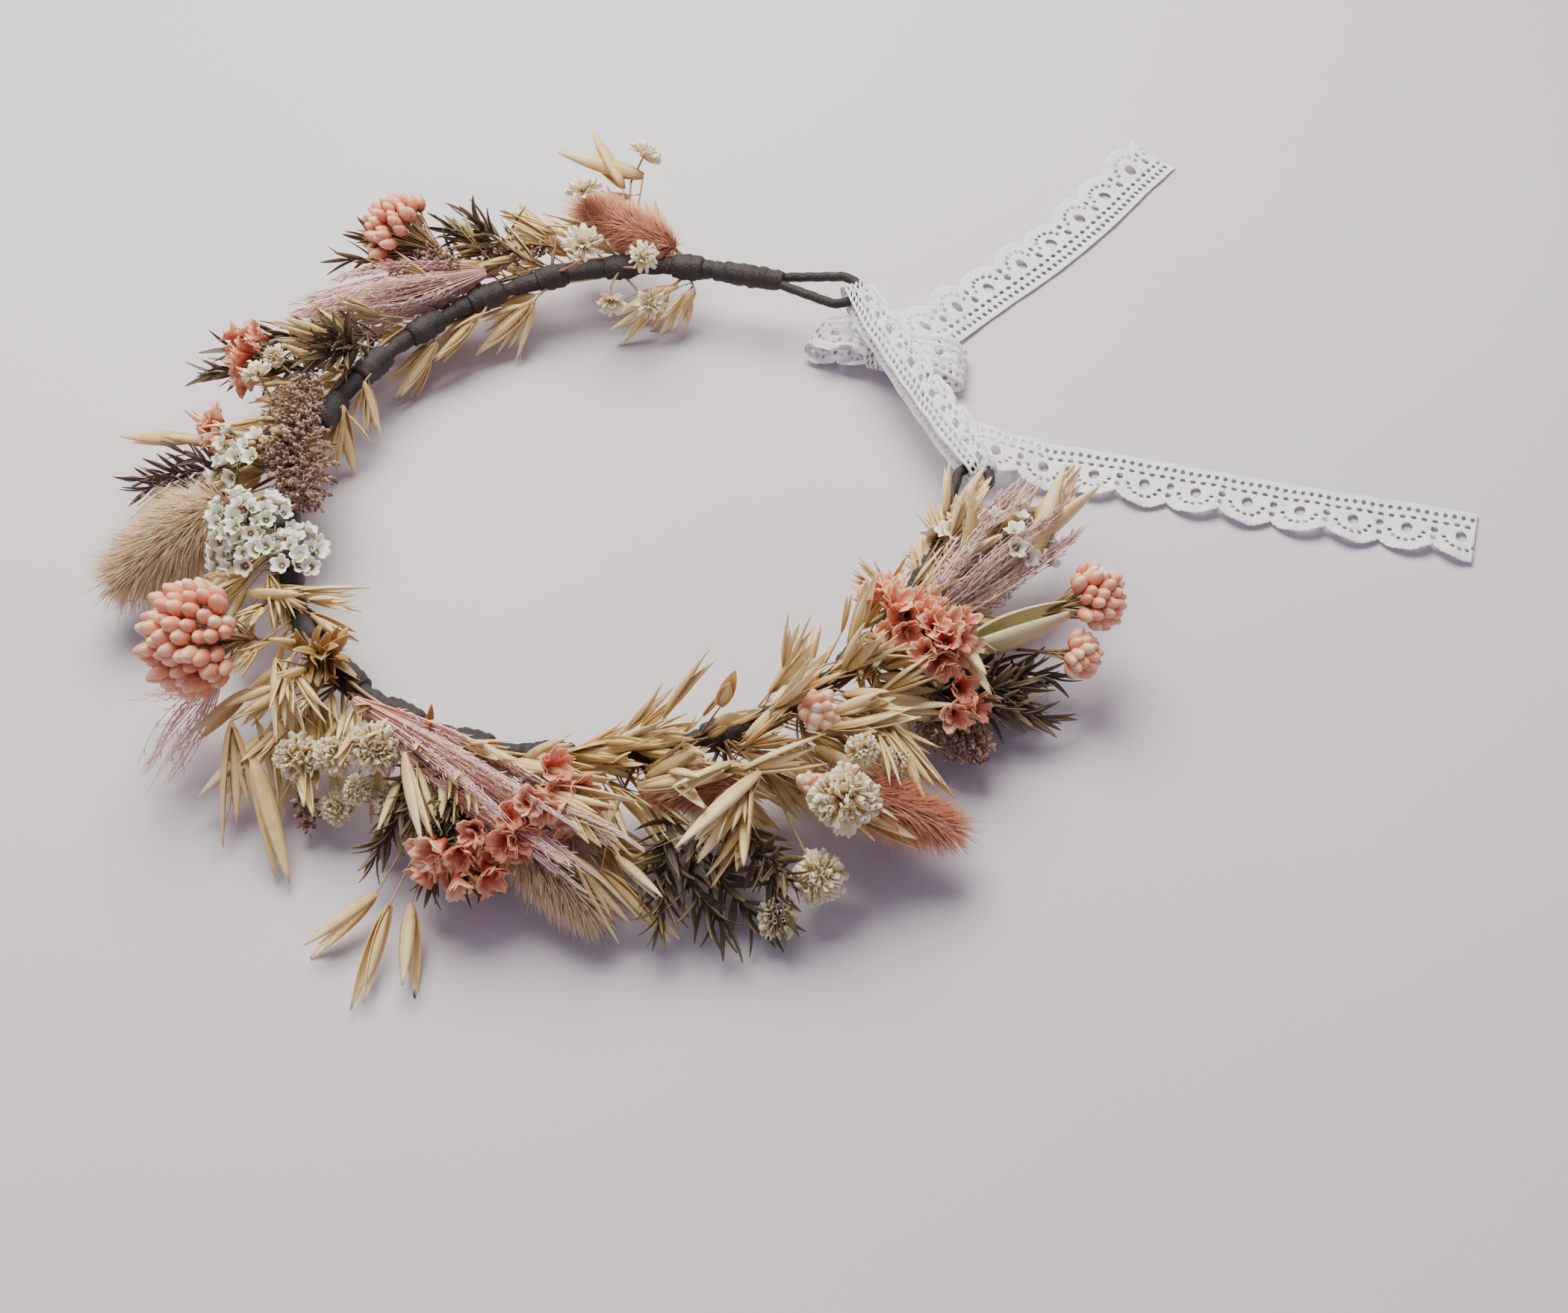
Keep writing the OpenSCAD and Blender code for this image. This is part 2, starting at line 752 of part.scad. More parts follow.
module astilbe_right() {
  color(umber) {
    stem_to(at(384, 18, -5), 382);
    between(at(384, 18, -5), at(385, 42, -9)) {
      soft_head($span, 15);
      for (i = [0 : 11])
        translate([0, 0, $span * (0.2 + 0.06 * i)]) rotate([0, 0, i * 137.5])
          translate([6.5 * sin(30 + 10 * i), 0, 0]) sphere(d = 4, $fn = 24);
    }
  }
}

module white_statice_right() {
  color("whitesmoke") {
    stem_to(at(410, 5, 1), 408);
    statice(at(410, 5, 1), at(412, 6, 9), 10, 8, 5);
    stem_to(at(410, 18, 0), 408);
    statice(at(410, 18, 0), at(411, 26, 8), 10, 6, 5);
  }
}

core_wire();
ring_tape();
binding_bands();
bound_stems();
left_end_wrap();
right_end_wrap();
left_loop_tape();
right_loop_tape();
lace_strap();
lace_bow();
lace_tail_left();
lace_tail_right();
terracotta_hares_tail();
daisies_left_end();
oats_left_end();
rice_flower_back_left();
needle_leaves_back_left();
pink_plume_left();
seed_heads_back_left();
oats_back_left();
needle_leaves_left();
coral_statice_left();
pale_buds_left();
oats_left();
astilbe_left();
white_statice_left();
dark_twigs_left();
beige_hares_tail();
white_statice_cluster();
rice_flower_left();
oats_lower_left();
oats_outer_left();
golden_leaves_left();
pink_wisps_left();
pompoms_left();
bud_twig_left();
needle_leaves_front_left();
oat_trio_front();
pink_plume_front();
coral_statice_front();
beige_hares_tail_front();
oats_front_left();
oats_front();
oats_front_right();
coral_hares_tail();
coral_hares_tail_inner();
pompoms_right();
rice_flower_front_right();
needle_leaves_front_right();
rice_flower_right();
mauve_plume_right();
coral_statice_right();
oats_right();
oats_right_end();
green_pod_right();
needle_leaves_right();
astilbe_right();
white_statice_right();
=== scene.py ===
import math
import bpy
import bmesh
import numpy as np
from mathutils import Matrix, Vector


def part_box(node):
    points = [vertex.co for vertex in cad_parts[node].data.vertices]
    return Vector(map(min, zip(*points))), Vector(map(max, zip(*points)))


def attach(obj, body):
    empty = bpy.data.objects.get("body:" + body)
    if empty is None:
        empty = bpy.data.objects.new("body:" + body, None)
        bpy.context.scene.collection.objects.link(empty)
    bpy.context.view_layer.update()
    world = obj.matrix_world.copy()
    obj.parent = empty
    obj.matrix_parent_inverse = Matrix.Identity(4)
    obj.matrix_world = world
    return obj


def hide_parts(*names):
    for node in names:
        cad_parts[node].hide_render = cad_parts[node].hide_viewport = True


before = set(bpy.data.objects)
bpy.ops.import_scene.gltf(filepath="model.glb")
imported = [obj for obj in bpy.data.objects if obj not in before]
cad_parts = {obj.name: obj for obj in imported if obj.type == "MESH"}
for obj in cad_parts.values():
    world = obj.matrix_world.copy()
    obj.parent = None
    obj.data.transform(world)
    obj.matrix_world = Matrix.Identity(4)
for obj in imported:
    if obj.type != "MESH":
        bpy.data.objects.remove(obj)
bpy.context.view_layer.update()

# ---------------------------------------------------------------- table, light and camera
# The crown lies on a pale cloth-covered table under soft daylight from the far left.
# The ring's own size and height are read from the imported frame.
mm = 0.001
tape_low, tape_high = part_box("ring_tape")
tape_d = tape_high[2] - tape_low[2]
ring_h = (tape_high[2] + tape_low[2]) / 2
ring_r = (tape_high[0] - tape_low[0]) / 2 - tape_d / 2
aim = Vector((0.076, 0.0195, ring_h))
look_azimuth = math.radians(72)
look_elevation = math.radians(51.8)
look_roll = math.radians(-5.95)
look_distance = 0.499
focal_over_width = 2600 / 2100


def put(tree, kind, settings=None, **sockets):
    node = tree.nodes.new(kind)
    for key, value in (settings or {}).items():
        setattr(node, key, value)
    for key, value in sockets.items():
        index = int(key[3:]) if key.startswith("at_") else key.replace("_", " ")
        socket = node.inputs[index]
        if isinstance(value, bpy.types.NodeSocket):
            tree.links.new(value, socket)
        else:
            socket.default_value = value
    return node


def ramp(tree, fac, stops):
    node = put(tree, "ShaderNodeValToRGB", Fac=fac)
    line = node.color_ramp.elements
    while len(line) < len(stops):
        line.new(0.5)
    for point, (place, colour) in zip(line, stops):
        point.position = place
        point.color = (*colour, 1)
    return node.outputs["Color"]


def new_material(name):
    material = bpy.data.materials.new(name)
    material.use_nodes = True
    tree = material.node_tree
    tree.nodes.clear()
    out = put(tree, "ShaderNodeOutputMaterial")
    shader = put(tree, "ShaderNodeBsdfPrincipled")
    tree.links.new(shader.outputs["BSDF"], out.inputs["Surface"])
    return material, tree, shader


def place_camera():
    flat = Vector((-math.sin(look_azimuth), math.cos(look_azimuth), 0))
    ahead = flat * math.cos(look_elevation) - Vector((0, 0, math.sin(look_elevation)))
    level = ahead.cross(Vector((0, 0, 1))).normalized()
    above = level.cross(ahead)
    across = level * math.cos(look_roll) + above * math.sin(look_roll)
    up = above * math.cos(look_roll) - level * math.sin(look_roll)
    camera = bpy.data.objects.new("camera", bpy.data.cameras.new("camera"))
    bpy.context.collection.objects.link(camera)
    turn = Matrix((across, up, -ahead)).transposed().to_4x4()
    camera.matrix_world = Matrix.Translation(aim - ahead * look_distance) @ turn
    camera.data.sensor_fit = "HORIZONTAL"
    camera.data.sensor_width = 36
    camera.data.lens = focal_over_width * 36
    camera.data.clip_end = 20
    bpy.context.scene.camera = camera


def soft_light(name, place, size, power, colour):
    lamp = bpy.data.lights.new(name, "AREA")
    lamp.shape = "DISK"
    lamp.size = size
    lamp.energy = power
    lamp.color = colour
    holder = bpy.data.objects.new(name, lamp)
    bpy.context.collection.objects.link(holder)
    holder.location = place
    holder.rotation_euler = (-Vector(place)).to_track_quat("-Z", "Y").to_euler()


def cloth_table():
    material, tree, shader = new_material("table_cloth")
    place = put(tree, "ShaderNodeTexCoord").outputs["Object"]
    cloud = put(tree, "ShaderNodeTexNoise", Vector=place, Scale=3.0, Detail=3.0)
    weave = put(tree, "ShaderNodeTexNoise", Vector=place, Scale=2400.0, Detail=2.0)
    tint = ramp(tree, cloud.outputs["Fac"], [(0.3, (0.595, 0.545, 0.60)),
                                             (0.7, (0.645, 0.595, 0.65))])
    bump = put(tree, "ShaderNodeBump", Strength=0.12, Distance=0.0004,
               Height=weave.outputs["Fac"])
    tree.links.new(tint, shader.inputs["Base Color"])
    tree.links.new(bump.outputs["Normal"], shader.inputs["Normal"])
    shader.inputs["Roughness"].default_value = 0.9
    mesh = bpy.data.meshes.new("table")
    half = 3.0
    mesh.from_pydata([(-half, -half, 0), (half, -half, 0), (half, half, 0), (-half, half, 0)],
                     [], [(0, 1, 2, 3)])
    mesh.materials.append(material)
    table = bpy.data.objects.new("table", mesh)
    bpy.context.collection.objects.link(table)
    table.location.z = -0.0002


place_camera()
soft_light("window", (-0.36, 0.08, 0.72), 0.7, 16, (1.0, 0.97, 0.86))
soft_light("room", (1.1, -0.6, 1.3), 1.6, 1.5, (0.95, 0.90, 1.0))
world = bpy.data.worlds.new("room_air")
world.use_nodes = True
world.node_tree.nodes["Background"].inputs["Color"].default_value = (0.80, 0.73, 0.98, 1)
world.node_tree.nodes["Background"].inputs["Strength"].default_value = 0.40
bpy.context.scene.world = world
cloth_table()

# ---------------------------------------------------------------- core wire
# A plain drawn steel wire runs the whole way round and is bent back into a loop at
# each end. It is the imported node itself, under its tape, with a drawn-metal finish.
wire_steel, tree, shader = new_material("drawn_wire")
place = put(tree, "ShaderNodeTexCoord").outputs["Object"]
drawn = put(tree, "ShaderNodeTexNoise", Vector=place, Scale=900.0, Detail=3.0)
tree.links.new(ramp(tree, drawn.outputs["Fac"], [(0.3, (0.34, 0.33, 0.33)),
                                                 (0.7, (0.55, 0.55, 0.56))]),
               shader.inputs["Base Color"])
shader.inputs["Metallic"].default_value = 1.0
shader.inputs["Roughness"].default_value = 0.38
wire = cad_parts["core_wire"]
for slot in wire.material_slots:
    slot.material = wire_steel

# ---------------------------------------------------------------- floral tape on the ring
# Waxed crepe-paper tape, dark brown, about 12 mm wide, wound on a slant round the wire
# so that each turn laps the one before; it is lumpy where stems lie under it.
arc_start = math.radians(140)
arc_end = math.radians(403)
lap_pitch = 7.5 * mm
lap_step = 0.32 * mm
band_low, band_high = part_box("binding_bands")
band_d = band_high[2] - band_low[2]
rng = np.random.default_rng(11)


def at(angle, out, up):
    a = math.radians(angle)
    r = ring_r + out * mm
    return np.array([r * math.cos(a), r * math.sin(a), ring_h + up * mm])


def grid_faces(rows, cols, wrap):
    i = np.arange(rows - 1)[:, None]
    j = np.arange(cols if wrap else cols - 1)[None, :]
    k = (j + 1) % cols
    quads = np.stack([i * cols + j, i * cols + k, (i + 1) * cols + k, (i + 1) * cols + j], -1)
    return quads.reshape(-1, 4)


def mesh_of(name, verts, face_sets, **marks):
    mesh = bpy.data.meshes.new(name)
    corners = np.concatenate([f.ravel() for f in face_sets])
    sizes = np.concatenate([np.full(len(f), f.shape[1]) for f in face_sets])
    starts = np.concatenate([[0], np.cumsum(sizes)[:-1]])
    mesh.vertices.add(len(verts))
    mesh.vertices.foreach_set("co", np.asarray(verts, float).ravel())
    mesh.loops.add(len(corners))
    mesh.loops.foreach_set("vertex_index", corners.astype(np.int32))
    mesh.polygons.add(len(sizes))
    mesh.polygons.foreach_set("loop_start", starts.astype(np.int32))
    mesh.polygons.foreach_set("use_smooth", np.ones(len(sizes), bool))
    for key, values in marks.items():
        kind = "FLOAT_VECTOR" if np.ndim(values) == 2 else "FLOAT"
        mark = mesh.attributes.new(key, kind, "POINT")
        slot = "vector" if kind == "FLOAT_VECTOR" else "value"
        mark.data.foreach_set(slot, np.asarray(values, np.float32).ravel())
    mesh.update(calc_edges=True)
    mesh.validate()
    return mesh


def show(name, mesh, material, nodes):
    mesh.materials.clear()
    mesh.materials.append(material)
    piece = bpy.data.objects.new(name, mesh)
    bpy.context.collection.objects.link(piece)
    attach(piece, "root")
    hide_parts(*nodes)
    return piece


def frames_along(points):
    run = np.gradient(points, axis=0)
    run /= np.linalg.norm(run, axis=1)[:, None]
    side = np.cross(run, [0, 0, 1.0])
    side /= np.maximum(np.linalg.norm(side, axis=1)[:, None], 1e-9)
    return run, side, np.cross(side, run)


def wound_tube(points, radius, sides, turns_at=0.0, pitch=lap_pitch, step=lap_step):
    """Verts and faces of a closed tube whose surface steps where the tape laps."""
    run, side, rise = frames_along(points)
    reach = np.concatenate([[0], np.cumsum(np.linalg.norm(np.diff(points, axis=0), axis=1))])
    turn = np.arange(sides) / sides
    phase = (reach[:, None] / pitch + turn[None, :] + turns_at) % 1.0
    lap = np.where(phase < 0.12, phase / 0.12, 1 - (phase - 0.12) / 0.88)
    ring = np.asarray(radius)[:, None] + step * (lap - 0.5)
    a = turn * 2 * math.pi
    verts = (points[:, None, :] + ring[..., None] * (np.cos(a)[None, :, None] * side[:, None, :]
             + np.sin(a)[None, :, None] * rise[:, None, :])).reshape(-1, 3)
    rows = len(points)
    faces = grid_faces(rows, sides, True)[:, ::-1]
    ends = np.stack([points[0], points[-1]])
    first, last = len(verts), len(verts) + 1
    j = np.arange(sides)
    k = (j + 1) % sides
    caps = np.concatenate([np.stack([np.full(sides, first), k, j], -1),
                           np.stack([np.full(sides, last), (rows - 1) * sides + j,
                                     (rows - 1) * sides + k], -1)])
    return np.concatenate([verts, ends]), faces, caps[:, ::-1]


def joined(parts):
    verts, quads, tris, count = [], [], [], 0
    for v, q, t in parts:
        verts.append(v)
        quads.append(q + count)
        tris.append(t + count)
        count += len(v)
    return np.concatenate(verts), [np.concatenate(quads), np.concatenate(tris)]


def crepe_tape():
    material, tree, shader = new_material("crepe_tape")
    place = put(tree, "ShaderNodeTexCoord").outputs["Object"]
    patch = put(tree, "ShaderNodeTexNoise", Vector=place, Scale=160.0, Detail=4.0)
    crinkle = put(tree, "ShaderNodeTexNoise", Vector=place, Scale=1500.0, Detail=5.0,
                  Roughness=0.65)
    fold = put(tree, "ShaderNodeTexVoronoi", {"feature": "DISTANCE_TO_EDGE"}, Vector=place,
               Scale=620.0)
    colour = ramp(tree, patch.outputs["Fac"], [(0.3, (0.014, 0.009, 0.010)),
                                               (0.62, (0.032, 0.021, 0.021)),
                                               (0.8, (0.075, 0.050, 0.045))])
    high = put(tree, "ShaderNodeMath", {"operation": "ADD"}, at_0=crinkle.outputs["Fac"],
               at_1=fold.outputs["Distance"])
    bump = put(tree, "ShaderNodeBump", Strength=0.75, Distance=0.0004, Height=high.outputs[0])
    tree.links.new(colour, shader.inputs["Base Color"])
    tree.links.new(bump.outputs["Normal"], shader.inputs["Normal"])
    shader.inputs["Roughness"].default_value = 0.62
    return material


tape_finish = crepe_tape()
steps = 620
angles = np.linspace(arc_start, arc_end, steps)
ring_line = np.stack([ring_r * np.cos(angles), ring_r * np.sin(angles),
                      np.full(steps, ring_h)], -1)
lumps = 0.25 * np.sin(angles * 31) + 0.2 * np.sin(angles * 53 + 1) + 0.15 * np.sin(angles * 97)
ring_radius = tape_d / 2 + lumps * mm
tube = wound_tube(ring_line, ring_radius, 16)
show("ring_tape_wound", mesh_of("ring_tape_wound", tube[0], [tube[1], tube[2]]), tape_finish,
     ["ring_tape"])

# ---------------------------------------------------------------- binding bands
# Short overwraps of the same tape, three or four turns each, that hold every bunch of
# stems against the ring. Each is a little different in thickness.
band_count = 20
band_l = 8 * mm
first_band = arc_start + math.radians(6)
band_pitch = (arc_end - arc_start - math.radians(12)) / (band_count - 1)


def band_angle(k):
    return first_band + k * band_pitch


bands = []
for k in range(band_count):
    half = band_l * (0.62 + 0.2 * rng.random()) / ring_r
    a = np.linspace(band_angle(k) - half, band_angle(k) + half, 26)
    line = np.stack([ring_r * np.cos(a), ring_r * np.sin(a), np.full(26, ring_h)], -1)
    swell = np.sin(np.linspace(0, math.pi, 26)) ** 0.35
    width = tape_d / 2 + 0.1 * mm + (band_d - tape_d) / 2 * swell * (0.7 + 0.3 * rng.random())
    bands.append(wound_tube(line, width, 18, rng.random(), 3.4 * mm, 0.4 * mm))
verts, faces = joined(bands)
show("binding_bands_wound", mesh_of("binding_bands_wound", verts, faces), tape_finish,
     ["binding_bands"])

# ---------------------------------------------------------------- ring ends and end loops
# At each end the wire is bent back into a loop for the ribbon. The loop is wound in
# tape by itself, and a thicker wrap binds its two ends to the ring.
sleeve_l = 20 * mm
loop_l = 18 * mm
loop_wire_d = 3 * mm
neck = loop_wire_d / 2 + 0.1 * mm


def end_frame(angle, turn):
    corner = np.array([ring_r * math.cos(angle), ring_r * math.sin(angle), ring_h])
    ahead = np.array([math.cos(turn), math.sin(turn), 0])
    across = np.array([-math.sin(turn), math.cos(turn), 0])
    return corner, ahead, across


def loop_line(angle, turn, loop_r):
    corner, ahead, across = end_frame(angle, turn)
    tilt = math.asin(loop_r / math.hypot(loop_l, neck)) - math.atan(neck / loop_l)
    limb = math.sqrt(loop_l ** 2 + neck ** 2 - loop_r ** 2)
    steps = np.linspace(0, 1, 24)
    up = [(d * limb * math.cos(tilt), neck + d * limb * math.sin(tilt)) for d in steps]
    bend = np.linspace(math.pi / 2 + tilt, -math.pi / 2 - tilt, 40)[1:-1]
    round_tip = [(loop_l + loop_r * math.cos(b), loop_r * math.sin(b)) for b in bend]
    down = [(x, -y) for x, y in reversed(up)]
    flat = np.array(up + round_tip + down)
    return corner + (sleeve_l + flat[:, :1]) * ahead + flat[:, 1:] * across


def end_wrap_line(angle, turn):
    corner, ahead, across = end_frame(angle, turn)
    return corner + np.linspace(-1.5 * mm, sleeve_l + 0.6 * mm, 70)[:, None] * ahead


end_places = {"left": (arc_start, arc_start - math.pi / 2, 6 * mm),
              "right": (arc_end, arc_end + math.pi / 2, 4.5 * mm)}
for side, (angle, turn, loop_r) in end_places.items():
    line = loop_line(angle, turn, loop_r)
    tube = wound_tube(line, np.full(len(line), loop_wire_d / 2 - 0.05 * mm), 12, 0.3,
                      5 * mm, 0.22 * mm)
    show(f"{side}_loop_wound", mesh_of(f"{side}_loop_wound", tube[0], [tube[1], tube[2]]),
         tape_finish, [f"{side}_loop_tape"])
    line = end_wrap_line(angle, turn)
    far = np.linspace(0, 1, len(line))
    thick = 2.7 * mm + 0.75 * mm * np.sin(far * math.pi) ** 0.6 + 0.12 * mm * np.sin(far * 37)
    tube = wound_tube(line, thick, 18, 0.1, 5.5 * mm, 0.4 * mm)
    show(f"{side}_wrap_wound", mesh_of(f"{side}_wrap_wound", tube[0], [tube[1], tube[2]]),
         tape_finish, [f"{side}_end_wrap"])

# ---------------------------------------------------------------- cut stems along the ring
# The cut ends of the flower stems lie along the outside of the ring and show between two
# bands. A Geometry Nodes tree draws twigs through points and seats heads on them.


class Bunch:
    """Places of one bunch: twigs run through some of them, and heads sit on others."""

    def __init__(self):
        self.rows, self.edges = [], []

    def mark(self, place, heading, roll, size, kind, width, tone, along):
        self.rows.append((*place, *heading, roll, size, kind, width, tone, along))

    def twig(self, path, foot_r, tip_r, tone):
        first = len(self.rows)
        for i, place in enumerate(path):
            share = i / (len(path) - 1)
            self.mark(place, (0, 0, 1), 0, 0, 0, foot_r + (tip_r - foot_r) * share, tone, share)
            if i:
                self.edges.append((first + i - 1, first + i))

    def seat(self, place, heading, size, kind=1, tone=None):
        heading = np.array(heading, float) / np.linalg.norm(heading)
        lowest = place[2] + heading[2] * size
        if lowest < 0.5 * mm:
            heading[2] += (0.5 * mm - lowest) / size
            heading /= np.linalg.norm(heading)
        self.mark(place, heading, rng.random() * 6.28, size, kind, 0,
                  rng.random() if tone is None else tone, 0)

    def mesh(self, name):
        table = np.array(self.rows, np.float32)
        mesh = bpy.data.meshes.new(name)
        mesh.from_pydata(table[:, :3].tolist(), self.edges, [])
        for key, columns in (("heading", slice(3, 6)), ("roll", 6), ("size", 7), ("kind", 8),
                             ("width", 9), ("tone", 10), ("along", 11)):
            vector = key == "heading"
            mark = mesh.attributes.new(key, "FLOAT_VECTOR" if vector else "FLOAT", "POINT")
            mark.data.foreach_set("vector" if vector else "value", table[:, columns].ravel())
        return mesh


def tree_inputs(tree, named):
    for label, kind in named:
        tree.interface.new_socket(label, in_out="INPUT", socket_type="NodeSocket" + kind)
    tree.interface.new_socket("Result", in_out="OUTPUT", socket_type="NodeSocketGeometry")
    return put(tree, "NodeGroupInput").outputs, put(tree, "NodeGroupOutput").inputs


def read_mark(tree, name, kind="FLOAT"):
    node = put(tree, "GeometryNodeInputNamedAttribute", {"data_type": kind}, Name=name)
    return node.outputs["Attribute"]


def twigs_and_heads():
    tree = bpy.data.node_groups.new("twigs_and_heads", "GeometryNodeTree")
    given, result = tree_inputs(tree, (
        ("Bunch", "Geometry"), ("Head", "Object"), ("Other Head", "Object"),
        ("Twig Finish", "Material"), ("Head Finish", "Material"), ("Twig Sides", "Int")))
    line = put(tree, "GeometryNodeMeshToCurve", Mesh=given["Bunch"])
    profile = put(tree, "GeometryNodeCurvePrimitiveCircle", Resolution=given["Twig Sides"],
                  Radius=1.0)
    twigs = put(tree, "GeometryNodeCurveToMesh", Curve=line.outputs[0],
                Profile_Curve=profile.outputs[0], Scale=read_mark(tree, "width"),
                Fill_Caps=True)
    joint = put(tree, "GeometryNodeJoinGeometry")
    tree.links.new(twigs.outputs[0], joint.inputs[0])
    facing = put(tree, "FunctionNodeAlignRotationToVector", {"axis": "Z"},
                 Vector=read_mark(tree, "heading", "FLOAT_VECTOR"))
    spin = put(tree, "FunctionNodeAxisAngleToRotation", Axis=(0, 0, 1),
               Angle=read_mark(tree, "roll"))
    turned = put(tree, "FunctionNodeRotateRotation", {"rotation_space": "LOCAL"},
                 Rotation=facing.outputs[0], Rotate_By=spin.outputs[0])
    for number, label in ((1.0, "Head"), (2.0, "Other Head")):
        chosen = put(tree, "ShaderNodeMath", {"operation": "COMPARE"},
                     at_0=read_mark(tree, "kind"), at_1=number, at_2=0.1)
        spots = put(tree, "GeometryNodeMeshToPoints", Mesh=given["Bunch"],
                    Selection=chosen.outputs[0])
        head = put(tree, "GeometryNodeObjectInfo", Object=given[label])
        heads = put(tree, "GeometryNodeInstanceOnPoints", Points=spots.outputs[0],
                    Instance=head.outputs["Geometry"], Rotation=turned.outputs[0],
                    Scale=read_mark(tree, "size"))
        tree.links.new(heads.outputs[0], joint.inputs[0])
    real = put(tree, "GeometryNodeRealizeInstances", Geometry=joint.outputs[0])
    twig_paint = put(tree, "GeometryNodeSetMaterial", Geometry=real.outputs[0],
                     Material=given["Twig Finish"])
    head_paint = put(tree, "GeometryNodeSetMaterial", Geometry=twig_paint.outputs[0],
                     Selection=read_mark(tree, "head"), Material=given["Head Finish"])
    tree.links.new(head_paint.outputs[0], result[0])
    return tree


def applied(piece, tree, settings):
    """Runs a tree on a piece and keeps its result as the piece's own plain mesh. What would
    go through the table is pressed flat on it."""
    growth = piece.modifiers.new("growth", "NODES")
    growth.node_group = tree
    for item in tree.interface.items_tree:
        if item.in_out == "INPUT" and item.name in settings:
            growth[item.identifier] = settings[item.name]
    bpy.context.view_layer.update()
    graph = bpy.context.evaluated_depsgraph_get()
    mesh = bpy.data.meshes.new_from_object(piece.evaluated_get(graph),
                                           preserve_all_data_layers=True, depsgraph=graph)
    piece.modifiers.remove(growth)
    guide, piece.data = piece.data, mesh
    bpy.data.meshes.remove(guide)
    for spent in ("heading", "roll", "size", "kind", "width", "head"):
        if spent in mesh.attributes:
            mesh.attributes.remove(mesh.attributes[spent])
    places = np.empty(len(mesh.vertices) * 3, np.float32)
    mesh.vertices.foreach_get("co", places)
    places[2::3] = np.maximum(places[2::3], 0.15 * mm)
    mesh.vertices.foreach_set("co", places)
    mesh.update()
    return piece


flower_tree = twigs_and_heads()


def grow(name, bunch, heads, finishes, nodes, sides=5):
    piece = bpy.data.objects.new(name, bunch.mesh(name + "_guide"))
    bpy.context.collection.objects.link(piece)
    applied(piece, flower_tree, {
        "Head": heads[0], "Other Head": heads[-1], "Twig Finish": finishes[0],
        "Head Finish": finishes[-1], "Twig Sides": sides})
    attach(piece, "root")
    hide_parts(*nodes)
    return piece


def dried_finish(name, stops, veins=30.0, tone_share=0.35, along_share=0.45, rough=0.62,
                 relief=0.25, glow=0.12, sheen=0.0):
    """A dried plant skin: its tint runs from foot to tip, differs from head to head, and
    has fine veins lengthwise."""
    material, tree, shader = new_material(name)
    place = put(tree, "ShaderNodeTexCoord").outputs["Object"]
    along, across, tone = (put(tree, "ShaderNodeAttribute", {"attribute_name": key})
                           .outputs["Fac"] for key in ("along", "across", "tone"))
    far = put(tree, "ShaderNodeMath", {"operation": "MULTIPLY"}, at_0=across, at_1=veins)
    shift = put(tree, "ShaderNodeMath", {"operation": "MULTIPLY"}, at_0=tone, at_1=57.0)
    spot = put(tree, "ShaderNodeCombineXYZ", X=far.outputs[0], Y=along, Z=shift.outputs[0])
    vein = put(tree, "ShaderNodeTexNoise", Vector=spot.outputs[0], Scale=1.0, Detail=3.0)
    patch = put(tree, "ShaderNodeTexNoise", Vector=place, Scale=420.0, Detail=3.0)
    total = None
    for source, share in ((along, along_share), (tone, tone_share),
                          (vein.outputs["Fac"], 0.5), (patch.outputs["Fac"], 0.45)):
        start = -0.475 if total is None else total
        total = put(tree, "ShaderNodeMath", {"operation": "MULTIPLY_ADD"}, at_0=source,
                    at_1=share, at_2=start).outputs[0]
    total = put(tree, "ShaderNodeMath", {"operation": "ADD", "use_clamp": True}, at_0=total,
                at_1=0.5 - (along_share + tone_share) / 2).outputs[0]
    tree.links.new(ramp(tree, total, stops), shader.inputs["Base Color"])
    bump = put(tree, "ShaderNodeBump", Strength=relief, Distance=0.0003,
               Height=vein.outputs["Fac"])
    tree.links.new(bump.outputs["Normal"], shader.inputs["Normal"])
    shader.inputs["Roughness"].default_value = rough
    shader.inputs["Subsurface Weight"].default_value = glow
    shader.inputs["Subsurface Scale"].default_value = 0.002
    shader.inputs["Sheen Weight"].default_value = sheen
    return material


def nearest_band(angle):
    k = round((math.radians(angle) - first_band) / band_pitch)
    return band_angle(min(max(k, 0), band_count - 1))


def stem_path(foot, angle):
    b = nearest_band(angle)
    root = np.array([ring_r * math.cos(b), ring_r * math.sin(b), ring_h])
    tangent = np.array([-math.sin(b), math.cos(b), 0])
    reach = foot - root
    aside = reach - tangent * reach.dot(tangent)
    start = root + aside / max(np.linalg.norm(aside), 1e-6) * (tape_d / 2 - 0.2 * mm)
    hook = start + tangent * reach.dot(tangent) * 0.6 + aside * 0.3
    t = np.linspace(0, 1, 7)[:, None]
    return (1 - t) ** 2 * start + 2 * t * (1 - t) * hook + t ** 2 * foot


